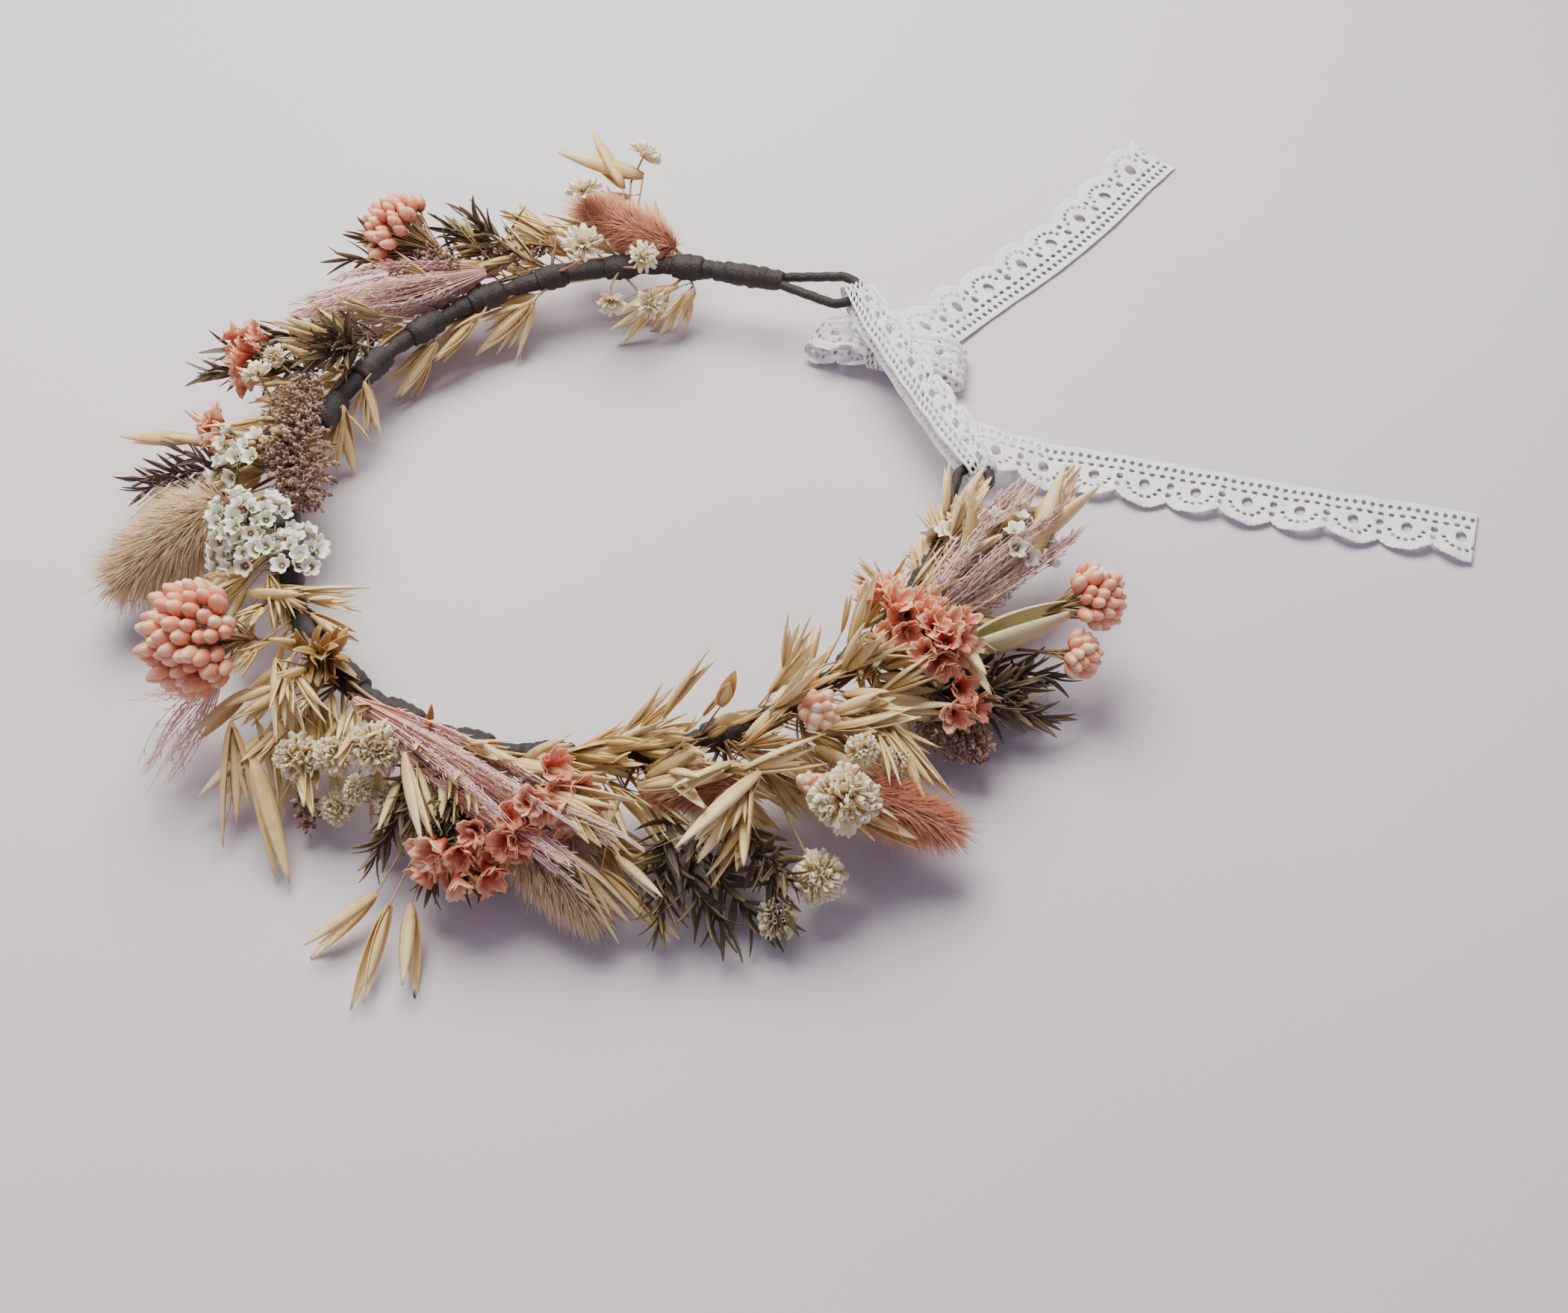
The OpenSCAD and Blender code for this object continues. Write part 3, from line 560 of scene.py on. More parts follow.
stem_finish = dried_finish("dried_stem", [(0.15, (0.10, 0.055, 0.030)),
                                          (0.5, (0.36, 0.22, 0.10)),
                                          (0.9, (0.60, 0.45, 0.24))], veins=6)
up = np.array([0, 0, 1.0])
cut_stems = Bunch()
for k in range(band_count - 1):
    for side in np.radians([-80, -58, -36, -14, 8, 30, 52]):
        if rng.random() < 0.25:
            continue
        lie = side + rng.normal(0, 0.12)
        stand = tape_d / 2 + 0.5 * mm
        t = np.linspace(0.08, 0.92, 7)
        a = band_angle(k) + t * band_pitch
        belly = np.sin(t * math.pi) * rng.uniform(0.1, 1.1) * mm
        r = ring_r + (stand + belly) * math.cos(lie)
        path = np.stack([r * np.cos(a), r * np.sin(a),
                         ring_h + (stand + belly) * math.sin(lie)], -1)
        cut_stems.twig(path, rng.uniform(0.35, 0.6) * mm, rng.uniform(0.3, 0.5) * mm,
                       rng.random() * 0.8)

# ---------------------------------------------------------------- oat spikelets
# Dried bleached oats: every spikelet hangs from a thin stalk and has two papery boat-shaped
# glumes, open a little, with slimmer florets and fine awns between them.


def blade(surface, thick, wrap=False):
    """A thin closed leaf, petal or cup from a grid of places, with its point marks."""
    rows, cols = surface.shape[:2]
    run = np.gradient(surface, axis=0)
    if wrap:
        over = np.roll(surface, -1, 1) - np.roll(surface, 1, 1)
    else:
        over = np.gradient(surface, axis=1)
    normal = np.cross(run, over)
    normal /= np.maximum(np.linalg.norm(normal, axis=2, keepdims=True), 1e-12)
    verts = np.concatenate([(surface + normal * thick / 2).reshape(-1, 3),
                            (surface - normal * thick / 2).reshape(-1, 3)])
    quads = grid_faces(rows, cols, wrap)
    count = rows * cols
    index = np.arange(count).reshape(rows, cols)
    if wrap:
        foot = np.append(index[0], index[0, 0])
        tip = np.append(index[-1], index[-1, 0])[::-1]
        loops = [foot[::-1], tip[::-1]]
    else:
        loops = [np.concatenate([index[:, 0], index[-1, 1:], index[-2::-1, -1],
                                 index[0, -2::-1]])]
    rims = [np.stack([p[1:], p[:-1], p[:-1] + count, p[1:] + count], -1) for p in loops]
    along = np.repeat(np.linspace(0, 1, rows), cols)
    across = np.tile(np.linspace(-1, 1, cols), rows)
    return (verts, np.concatenate([quads[:, ::-1], quads + count, *rims]),
            np.tile(along, 2), np.tile(across, 2))


def spindle(rows, sides, radius, line):
    """A closed round body: radius and line give its girth and its middle from foot to tip."""
    t = np.linspace(0, 1, rows)
    a = np.arange(sides) / sides * 2 * math.pi
    middle = np.array([line(x) for x in t])
    girth = np.array([radius(x) for x in t])
    ring = np.stack([np.cos(a), np.sin(a), np.zeros(sides)], -1)
    verts = middle[:, None] + girth[:, None, None] * ring[None]
    quads = grid_faces(rows, sides, True)
    return (verts.reshape(-1, 3), quads, np.repeat(t, sides), np.tile(np.sin(a), rows))


def pattern(name, parts):
    """One shape that the tree repeats, from several grids, closed and marked as a head."""
    verts = np.concatenate([p[0] for p in parts])
    shift = np.cumsum([0] + [len(p[0]) for p in parts[:-1]])
    quads = np.concatenate([p[1] + s for p, s in zip(parts, shift)])
    mesh = mesh_of(name, verts, [quads], along=np.concatenate([p[2] for p in parts]),
                   across=np.concatenate([p[3] for p in parts]), head=np.ones(len(verts)))
    shape = bmesh.new()
    shape.from_mesh(mesh)
    bmesh.ops.remove_doubles(shape, verts=shape.verts, dist=1e-5)
    holes = [e for e in shape.edges if e.is_boundary]
    if holes:
        bmesh.ops.holes_fill(shape, edges=holes, sides=0)
    bmesh.ops.recalc_face_normals(shape, faces=shape.faces)
    shape.to_mesh(mesh)
    shape.free()
    mesh.polygons.foreach_set("use_smooth", np.ones(len(mesh.polygons), bool))
    holder = bpy.data.objects.new(name, mesh)
    bpy.context.collection.objects.link(holder)
    patterns.append(holder)
    return holder


patterns = []


def turn_about_y(part, degrees, shift=(0, 0, 0)):
    a = math.radians(degrees)
    turn = np.array([[math.cos(a), 0, math.sin(a)], [0, 1, 0], [-math.sin(a), 0, math.cos(a)]])
    return (part[0] @ turn.T + np.array(shift), *part[1:])


awn_girth = 0.008  # half its thickness at the foot, over the ear's length


def half_round(part):
    return (part[0] * [-1, -1, 1], *part[1:])


def glume(length, half_width, flare):
    t = np.linspace(0, 1, 11)[:, None]
    a = np.linspace(-1.15, 1.15, 5)[None, :]
    width = half_width * np.sin(math.pi * (0.03 + 0.955 * t) ** 0.72) ** 0.8
    x = width * np.cos(a) * 0.85 + flare * t ** 2 - 0.02
    y = width * np.sin(a) / math.sin(1.15)
    return blade(np.stack([x, y, length * t + 0 * a], -1), 0.012)


def awn(start, bend, length):
    def line(t):
        return (start[0] + bend * t ** 1.6, start[1] + 0.25 * bend * t, start[2] + length * t)
    return spindle(6, 3, lambda t: awn_girth * (1.02 - t), line)


def floret(length, girth, bend):
    return spindle(9, 6, lambda t: girth * math.sin(math.pi * (0.04 + 0.94 * t)) ** 0.8,
                   lambda t: (bend * t * t, 0, 0.03 + length * t))


shut_ear = pattern("shut_oat_ear", [
    turn_about_y(glume(1.0, 0.085, 0.01), 3),
    turn_about_y(glume(0.93, 0.08, 0.0), -4, (0, 0.01, 0)), floret(0.74, 0.05, -0.04),
    awn((0.0, 0.01, 0.4), 0.1, 0.75)])
open_ear = pattern("open_oat_ear", [
    turn_about_y(glume(1.0, 0.088, 0.03), 9),
    half_round(turn_about_y(glume(0.92, 0.082, 0.03), 8)),
    floret(0.78, 0.045, 0.05), floret(0.66, 0.036, -0.07),
    awn((0.03, 0, 0.42), 0.28, 0.72), awn((-0.03, 0, 0.36), -0.3, 0.62)])
oat_finish = dried_finish("bleached_oat", [(0.0, (0.30, 0.17, 0.055)),
                                           (0.22, (0.54, 0.35, 0.125)),
                                           (0.5, (0.74, 0.55, 0.25)),
                                           (0.8, (0.86, 0.72, 0.42)),
                                           (1.0, (0.62, 0.41, 0.17))],
                          veins=9, relief=0.35, rough=0.5, glow=0.15)


def tilted(heading, degrees):
    """The heading, turned by about so many degrees to a side picked at random."""
    heading = heading / np.linalg.norm(heading)
    side = np.cross(heading, rng.normal(size=3))
    side /= np.linalg.norm(side)
    a = math.radians(degrees)
    return heading * math.cos(a) + side * math.sin(a)


def oat_spray(node, ears, extra):
    bunch = Bunch()
    for a, out, up, tip_a, tip_out, tip_up in ears:
        foot, tip = at(a, out, up), at(tip_a, tip_out, tip_up)
        reach = tip - foot
        length = np.linalg.norm(reach)
        path = stem_path(foot, a)
        bunch.twig(path, 0.55 * mm, 0.22 * mm, rng.random() * 0.6)
        bunch.seat(foot, reach, length, 2 if rng.random() < 0.6 else 1)
        for _ in range(extra):
            joint = path[rng.integers(2, 6)]
            aim_at = tilted(reach, rng.uniform(10, 34))
            step = joint + aim_at * rng.uniform(2, 5) * mm
            bunch.twig([joint, (joint + step) / 2, step], 0.2 * mm, 0.16 * mm, 0.5)
            bunch.seat(step, aim_at, length * rng.uniform(0.55, 0.85),
                       2 if rng.random() < 0.4 else 1)
    grow(node + "_ears", bunch, [shut_ear, open_ear], [stem_finish, oat_finish], [node])


oat_sprays = {
    "oats_left_end": [[151, -9, -6, 163, -14, -17], [144, -6, -4, 152, -11, -17],
                      [158, 20, 14, 163, 42, 17], [155, 24, 15, 167, 38, 16]],
    "oats_back_left": [[178, 10, 8, 188, 16, 9], [170, 10, 8, 178, 22, 12],
                       [188, -6, 0, 200, 3, -13], [178, -7, -2, 192, -5, -15],
                       [199, -5, -3, 210, -2, -15]],
    "oats_left": [[233, 11, 8, 238, 28, 9], [236, 14, 9, 243, 0, 10],
                  [234, 36, -4, 234, 62, -8], [240, 34, -6, 244, 52, -15],
                  [224, -4, 2, 229, -4, -17], [217, -4, 2, 222, -9, -12]],
    "oats_lower_left": [[270, 11, 7, 276, -5, 9], [268, 4, 8, 279, 5, 6],
                        [273, 0, 7, 281, -17, 4], [286, 13, 11, 297, 24, 6]],
    "oats_outer_left": [[285, 22, 4, 284, 40, -4], [287, 30, 2, 296, 46, -17],
                        [293, 32, 0, 303, 48, -17], [290, 27, -2, 290, 46, -12]],
    "oat_trio_front": [[316, 44, -10, 317, 70, -16], [314, 42, -10, 310, 62, -15],
                       [318, 42, -10, 321, 63, -16]],
    "oats_front_left": [[312, 14, 10, 320, 34, 7], [318, 5, 8, 329, 10, 10],
                        [326, 8, 8, 338, 16, 11], [331, 16, 10, 343, 26, 11]],
    "oats_front": [[336, 30, 2, 342, 46, -13], [339, 33, 0, 346, 47, -14],
                   [334, 3, 6, 347, 6, 8], [344, 16, 8, 356, 19, 10], [341, 1, 4, 353, 1, 8]],
    "oats_front_right": [[359, 22, 11, 348, 38, 7], [357, 28, 6, 350, 41, -1],
                         [357, 18, 8, 368, 25, 12], [370, 17, 8, 379, 30, 12],
                         [376, 26, 8, 375, 48, 1], [365, 30, 6, 371, 52, -3]],
    "oats_right": [[393, 3, 8, 380, 10, 9], [384, 16, 8, 393, 24, 13],
                   [378, 17, 9, 387, 24, 12], [393, 16, 9, 388, 36, 8],
                   [370, 1, 3, 381, -10, 8], [377, 22, 7, 376, 44, 2]],
    "oats_right_end": [[409, 3, 5, 418, -7, 4], [412, 3, 7, 423, 12, 9],
                       [411, 25, 1, 426, 36, 4], [408, 26, 4, 421, 32, 14],
                       [395, -3, 3, 393, -15, 8]]}

# Short loose ears fill the ring between the bunches, thickest along the front right.
# Their stalks are bound in with the cut stems, so they are one piece with them.
for step in np.concatenate([np.arange(148, 408, 1.25), np.arange(336, 396, 1.3)]):
    a = math.radians(step)
    tangent = np.array([-math.sin(a), math.cos(a), 0])
    outward = np.array([math.cos(a), math.sin(a), 0])
    side = math.radians(rng.uniform(-50, 115 if step > 335 else 60))
    from_ring = outward * math.cos(side) + up * math.sin(side)
    root = (np.array([ring_r * math.cos(a), ring_r * math.sin(a), ring_h])
            + from_ring * (tape_d / 2 + 0.4 * mm))
    way = (tangent * rng.uniform(0.4, 1.0) * (1 if step < 380 or rng.random() < 0.6 else -1)
           + from_ring * rng.uniform(0.5, 1.1) + outward * 0.2)
    way /= np.linalg.norm(way)
    reach = rng.uniform(4, 15) * mm
    tip = root + way * reach
    tip[2] = max(tip[2], 2 * mm)
    cut_stems.twig([root - tangent * 3 * mm, root, (root + tip) / 2, tip], 0.4 * mm, 0.2 * mm,
                   rng.random())
    cut_stems.seat(tip, tilted(way, 15), rng.uniform(10, 24 if 308 < step < 385 else 18) * mm,
                   1 if rng.random() < 0.5 else 2)
grow("cut_stems", cut_stems, [shut_ear, open_ear], [stem_finish, oat_finish],
     ["bound_stems"])
extra_ears = {"oat_trio_front": 0, "oats_front": 5, "oats_front_left": 5, "oats_front_right": 5}
for node, ears in oat_sprays.items():
    oat_spray(node, ears, extra_ears.get(node, 4))

# ---------------------------------------------------------------- hare's tail grass
# Dyed and natural hare's tails: an egg-shaped core covered all over in fine soft hairs
# that lie towards the tip.


def fur_coat():
    tree = bpy.data.node_groups.new("fur_coat", "GeometryNodeTree")
    given, result = tree_inputs(tree, (
        ("Core", "Geometry"), ("Hair", "Object"), ("Hairs Per Area", "Float"),
        ("Hair Length", "Float"), ("Lean", "Vector"), ("Seed", "Int"), ("Finish", "Material")))
    spots = put(tree, "GeometryNodeDistributePointsOnFaces", Mesh=given["Core"],
                Density=given["Hairs Per Area"], Seed=given["Seed"])
    stray = put(tree, "FunctionNodeRandomValue", {"data_type": "FLOAT_VECTOR"},
                at_0=(-0.45, -0.45, -0.45), at_1=(0.45, 0.45, 0.45), Seed=given["Seed"])
    lean = put(tree, "ShaderNodeVectorMath", {"operation": "ADD"},
               at_0=spots.outputs["Normal"], at_1=given["Lean"])
    lie = put(tree, "ShaderNodeVectorMath", {"operation": "ADD"}, at_0=lean.outputs[0],
              at_1=stray.outputs[0])
    facing = put(tree, "FunctionNodeAlignRotationToVector", {"axis": "Z"},
                 Vector=lie.outputs[0])
    size = put(tree, "FunctionNodeRandomValue", {"data_type": "FLOAT"}, at_2=0.45, at_3=1.3,
               Seed=3)
    length = put(tree, "ShaderNodeMath", {"operation": "MULTIPLY"},
                 at_0=size.outputs[1], at_1=given["Hair Length"])
    shade = put(tree, "FunctionNodeRandomValue", {"data_type": "FLOAT"}, at_2=0.0, at_3=1.0,
                Seed=5)
    hair = put(tree, "GeometryNodeObjectInfo", Object=given["Hair"])
    hairs = put(tree, "GeometryNodeInstanceOnPoints", Points=spots.outputs[0],
                Instance=hair.outputs["Geometry"], Rotation=facing.outputs[0],
                Scale=length.outputs[0])
    toned = put(tree, "GeometryNodeStoreNamedAttribute",
                {"data_type": "FLOAT", "domain": "INSTANCE"}, Geometry=hairs.outputs[0],
                Name="tone", Value=shade.outputs[1])
    joint = put(tree, "GeometryNodeJoinGeometry")
    tree.links.new(toned.outputs[0], joint.inputs[0])
    tree.links.new(given["Core"], joint.inputs[0])
    real = put(tree, "GeometryNodeRealizeInstances", Geometry=joint.outputs[0])
    paint = put(tree, "GeometryNodeSetMaterial", Geometry=real.outputs[0],
                Material=given["Finish"])
    tree.links.new(paint.outputs[0], result[0])
    return tree


fur_tree = fur_coat()
hair = pattern("hair", [spindle(3, 3, lambda t: 0.016 * (1.03 - t) ** 0.7,
                                lambda t: (0.14 * t * t, 0, t))])
fluff_finishes = {
    "beige_fluff": dried_finish("natural_fluff", [(0.0, (0.44, 0.24, 0.105)),
                                                  (0.4, (0.69, 0.44, 0.23)),
                                                  (0.75, (0.84, 0.61, 0.38)),
                                                  (1.0, (0.92, 0.77, 0.57))],
                                rough=0.8, glow=0.25, sheen=0.3, along_share=0.5),
    "terracotta_fluff": dried_finish("terracotta_fluff", [(0.0, (0.46, 0.10, 0.045)),
                                                          (0.4, (0.74, 0.22, 0.11)),
                                                          (0.75, (0.86, 0.35, 0.19)),
                                                          (1.0, (0.91, 0.52, 0.34))],
                                     rough=0.8, glow=0.25, sheen=0.3, along_share=0.5)}


def turned_to(ahead):
    """The turn that takes +Z to a heading."""
    return np.array(Vector(ahead).to_track_quat("Z", "Y").to_matrix())


def hares_tail(node, a, foot, tip, width, finish_slot, seed):
    foot, tip = at(*foot), at(*tip)
    ahead = tip - foot
    length = np.linalg.norm(ahead)
    ahead /= length
    turn = turned_to(ahead)
    core_r = width * mm / 2 * 0.52
    t = np.linspace(0, 1, 20)
    girth = core_r * np.sin(math.pi * (0.03 + 0.94 * t ** 0.8)) ** 0.62
    around = np.arange(20) / 20 * 2 * math.pi
    body = np.stack([girth[:, None] * np.cos(around), girth[:, None] * np.sin(around),
                     (t * length * 0.86)[:, None] + 0 * around], -1).reshape(-1, 3)
    part = pattern(node + "_core", [(body @ turn.T + foot, grid_faces(20, 20, True),
                                     np.repeat(t * 0.3, 20), np.zeros(400))])
    patterns.remove(part)
    area = sum(p.area for p in part.data.polygons)
    applied(part, fur_tree, {
        "Hair": hair, "Hairs Per Area": 7200 / area * (width / 18) ** 1.2,
        "Hair Length": width * mm * 0.5, "Lean": tuple(ahead * 1.05), "Seed": seed,
        "Finish": fluff_finishes[finish_slot]})
    part.name = node + "_fluff"
    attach(part, "root")
    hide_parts(node)
    stem = Bunch()
    stem.twig(stem_path(foot, a), 0.5 * mm, 0.45 * mm, 0.4)
    grow(node + "_stem", stem, [hair], [stem_finish], [node])


for place in (("terracotta_hares_tail", 147, (149, 5, 3), (167, 18, 13), 13),
              ("beige_hares_tail", 249, (250, 15, 5), (258, 50, -4), 20),
              ("beige_hares_tail_front", 327, (327, 20, -5), (339, 42, -10), 15),
              ("coral_hares_tail", 366, (366, 26, 2), (376, 57, -5), 13.75),
              ("coral_hares_tail_inner", 357, (357, 20, 4), (344, 14, 2), 9.9)):
    kind = "beige_fluff" if place[0].startswith("beige") else "terracotta_fluff"
    hares_tail(*place, kind, 17 + len(place[0]))

# ---------------------------------------------------------------- rice flower
# Heads of dyed rice flower: dozens of small egg-shaped buds with overlapping papery
# scales, each on its own thin stalk, coral at the foot and cream at the tip.
golden_turn = 2.39996  # from each bud to the next round the head, in radians
bud_stretch = 1.35  # length of a bud over its given size
bud_crowding = 1.35  # buds grown for each one listed below
bud_sweep = 0.75  # how far the buds turn towards the head's tip


def bud_shape(scales, relief):
    rows, sides = 11, 12
    t = np.linspace(0, 1, rows)
    a = np.arange(sides) / sides * 2 * math.pi
    grid_t, grid_a = np.meshgrid(t, a, indexing="ij")
    girth = 0.32 * np.sin(math.pi * (0.04 + 0.915 * grid_t ** 0.9)) ** 0.72
    lap = (grid_t * scales + 0.5 * np.abs(np.sin(2.5 * grid_a))) % 1.0
    girth = girth * (1 + relief * (lap - 0.5))
    verts = np.stack([girth * np.cos(grid_a), girth * np.sin(grid_a), grid_t], -1)
    return (verts.reshape(-1, 3), grid_faces(rows, sides, True), grid_t.ravel(),
            lap.ravel() * 2 - 1)


plump_bud = pattern("plump_bud", [bud_shape(3.4, 0.16)])
coral_bud_finish = dried_finish("coral_bud", [(0.0, (0.40, 0.085, 0.045)),
                                              (0.35, (0.66, 0.21, 0.115)),
                                              (0.65, (0.80, 0.35, 0.20)),
                                              (0.88, (0.88, 0.53, 0.34)),
                                              (1.0, (0.93, 0.74, 0.54))],
                                veins=2.5, along_share=0.75, tone_share=0.3, rough=0.45,
                                glow=0.2)


def bud_head(bunch, foot, top, width, count, bud):
    foot, top = at(*foot), at(*top)
    ahead = top - foot
    reach = np.linalg.norm(ahead)
    ahead /= reach
    turn = turned_to(ahead)
    for i in range(count):
        lift = 1 - (i + 0.5) / count * 1.15
        swing = i * golden_turn + rng.normal(0, 0.12)
        flat_r = math.sqrt(max(0.0, 1 - lift * lift))
        way = turn @ np.array([flat_r * math.cos(swing), flat_r * math.sin(swing), lift])
        core = top - ahead * width * mm * 0.2
        place = core + way * (width / 2 - bud * 0.55) * mm * rng.uniform(0.86, 1.06)
        size = bud * bud_stretch * mm * rng.uniform(0.85, 1.12)
        way = way + ahead * bud_sweep
        way /= np.linalg.norm(way)
        base = place - way * size * 0.5
        bunch.seat(base, way, size)
        split = foot + ahead * reach * rng.uniform(0.25, 0.6)
        bunch.twig([split, (split + base) / 2 + rng.normal(0, 0.3, 3) * mm, base],
                   0.28 * mm, 0.2 * mm, 0.3 + 0.3 * rng.random())


def rice_flower(node, heads, bud):
    bunch = Bunch()
    for foot, top, width, count in heads:
        bunch.twig(stem_path(at(*foot), foot[0]), 0.6 * mm, 0.5 * mm, 0.3)
        bunch.twig([at(*foot), at(*foot) * 0.45 + at(*top) * 0.55], 0.5 * mm, 0.4 * mm, 0.3)
        bud_head(bunch, foot, top, width, round(count * bud_crowding), bud)
    grow(node + "_buds", bunch, [plump_bud], [stem_finish, coral_bud_finish], [node])


rice_flower("rice_flower_back_left", [((186, 8, 6), (194, 29, 16), 25, 56)], 3.9)
rice_flower("rice_flower_left", [((279, 7, 2), (279, 31, 20), 32, 62)], 5.0)
rice_flower("rice_flower_front_right", [((368, 10, 6), (369, 17, 17), 11, 11),
                                        ((363, 26, 2), (364, 29, 9), 7, 6)], 4.6)
rice_flower("rice_flower_right", [((401, 26, -2), (405, 48, 8), 19, 34),
                                  ((398, 31, -4), (399, 49, 1), 13, 20)], 4.1)

# ---------------------------------------------------------------- statice
# Papery statice: small funnels with a frilled rim, packed along short forked twigs. The
# white kind has a green throat, the dyed kind is coral with a red throat.


def funnel(lobes, depth, points, frill, deep):
    rows, cols = 6, lobes * 4
    t = np.linspace(0, 1, rows)[:, None]
    a = (np.arange(cols) / cols * 2 * math.pi)[None, :]
    lobe = np.abs(np.cos(a * lobes / 2)) ** points
    r = 0.07 + 0.45 * t ** 1.25 * (1 - depth * t * (1 - lobe))
    z = deep * (t ** 0.7 - 1) + frill * t ** 2 * np.sin(a * lobes + 0.8) + 0.05 * t * np.cos(2 * a)
    return blade(np.stack([r * np.cos(a), r * np.sin(a), z + 0 * a], -1), 0.02, True)


white_floret = pattern("white_floret", [
    funnel(5, 0.34, 0.6, 0.07, 0.62),
    spindle(4, 6, lambda t: 0.1 * math.sin(math.pi * (0.06 + 0.88 * t)) ** 0.6,
            lambda t: (0, 0, -0.66 + 0.34 * t))])
coral_floret = pattern("coral_floret", [funnel(5, 0.62, 1.5, 0.15, 0.78),
                                        funnel(4, 0.4, 1.1, 0.1, 0.66)])
white_finish = dried_finish("white_statice", [(0.0, (0.13, 0.15, 0.06)),
                                              (0.34, (0.26, 0.29, 0.12)),
                                              (0.5, (0.76, 0.74, 0.60)),
                                              (1.0, (0.93, 0.91, 0.83))],
                            along_share=0.95, tone_share=0.12, veins=5, rough=0.6, glow=0.15)
coral_petal_finish = dried_finish("coral_statice", [(0.0, (0.26, 0.018, 0.016)),
                                                    (0.35, (0.60, 0.10, 0.06)),
                                                    (0.6, (0.82, 0.31, 0.18)),
                                                    (1.0, (0.91, 0.52, 0.34))],
                                  along_share=0.75, tone_share=0.35, veins=5, rough=0.55,
                                  glow=0.2)
green_twig_finish = dried_finish("green_twig", [(0.0, (0.05, 0.055, 0.022)),
                                                (0.5, (0.16, 0.165, 0.065)),
                                                (1.0, (0.40, 0.36, 0.20))], veins=5)


def statice(node, heads, flower, finish):
    bunch = Bunch()
    for foot, top, width, count, size in heads:
        foot_at, top_at = at(*foot), at(*top)
        bunch.twig(stem_path(foot_at, foot[0]), 0.55 * mm, 0.5 * mm, 0.3)
        bunch.twig([foot_at, foot_at * 0.5 + top_at * 0.5], 0.5 * mm, 0.4 * mm, 0.4)
        ahead = (top_at - foot_at) / np.linalg.norm(top_at - foot_at)
        turn = turned_to(ahead)
        for i in range(count):
            r, swing = math.sqrt((i + 0.5) / count), i * golden_turn + rng.normal(0, 0.25)
            aside = turn @ np.array([math.cos(swing), math.sin(swing), 0.0])
            spot = (top_at + aside * r * width / 2 * mm
                    - ahead * (0.22 * r * r + rng.uniform(-0.13, 0.13)) * width * mm)
            spot[2] = max(spot[2], 3 * mm)
            way = ahead + aside * r * 0.9 + rng.normal(0, 0.22, 3)
            way /= np.linalg.norm(way)
            fork = foot_at + (top_at - foot_at) * rng.uniform(0.3, 0.6)
            base = spot - way * size * 0.7 * mm
            bunch.twig([fork, (fork + base) / 2 + rng.normal(0, 0.4, 3) * mm, base],
                       0.34 * mm, 0.26 * mm, 0.3 + 0.5 * rng.random())
            bunch.seat(spot, way, size * mm * rng.uniform(0.85, 1.15))
    grow(node + "_florets", bunch, [flower], [green_twig_finish, finish], [node])


for node, heads in {
        "coral_statice_left": [((220, 12, 8), (226, 29, 14), 22, 13, 7),
                               ((233, 14, -2), (236, 30, 4), 16, 8, 6.5)],
        "coral_statice_front": [((322, 18, -1), (323, 38, -1), 24, 13, 8.5),
                                ((326, 14, 1), (329, 30, 3), 20, 10, 8),
                                ((331, 12, 4), (334, 24, 9), 24, 14, 8)],
        "coral_statice_right": [((389, 1, 7), (391, 3, 16), 17, 9, 7.5),
                                ((390, 6, 7), (389, 13, 17), 19, 11, 8),
                                ((390, 16, 6), (389, 24, 15), 18, 10, 8),
                                ((386, 25, -2), (386, 34, 2), 14, 6, 7.5)]}.items():
    statice(node, heads, coral_floret, coral_petal_finish)
for node, heads in {
        "white_statice_left": [((242, 8, 4), (244, 17, 14), 19, 16, 4.7)],
        "white_statice_cluster": [((258, 6, 5), (259, 5, 19), 24, 28, 4.8),
                                  ((262, 4, 5), (264, 13, 16), 20, 18, 4.8),
                                  ((266, -3, 3), (266, -6, 14), 18, 15, 4.8)],
        "white_statice_right": [((410, 5, 1), (412, 6, 9), 16, 10, 5.2),
                                ((410, 18, 0), (412, 26, 10), 22, 15, 5.2)]}.items():
    statice(node, heads, white_floret, white_finish)

# ---------------------------------------------------------------- pompoms and small daisies
# Cream everlastings: a ball or a rosette of many small stiff papery petals. Each sits on
# a thin stalk that is bound to the ring.


def petal(length, half_width, cup, curl):
    t = np.linspace(0, 1, 5)[:, None]
    s = np.linspace(-1, 1, 4)[None, :]
    w = half_width * np.sin(math.pi * (0.08 + 0.8 * t) ** 0.9) ** 0.6
    return blade(np.stack([cup * s ** 2 * t + curl * t ** 2 + 0 * s, w * s,
                           length * t + 0 * s], -1), 0.03)


ball_petal = pattern("ball_petal", [petal(1.0, 0.36, 0.22, -0.12)])
ray_petal = pattern("ray_petal", [petal(1.0, 0.2, 0.1, -0.22)])
cream_finish = dried_finish("cream_everlasting", [(0.0, (0.50, 0.33, 0.12)),
                                                  (0.3, (0.76, 0.60, 0.32)),
                                                  (0.6, (0.89, 0.79, 0.54)),
                                                  (1.0, (0.94, 0.88, 0.70))],
                            along_share=0.7, tone_share=0.3, veins=4, rough=0.6, glow=0.15)


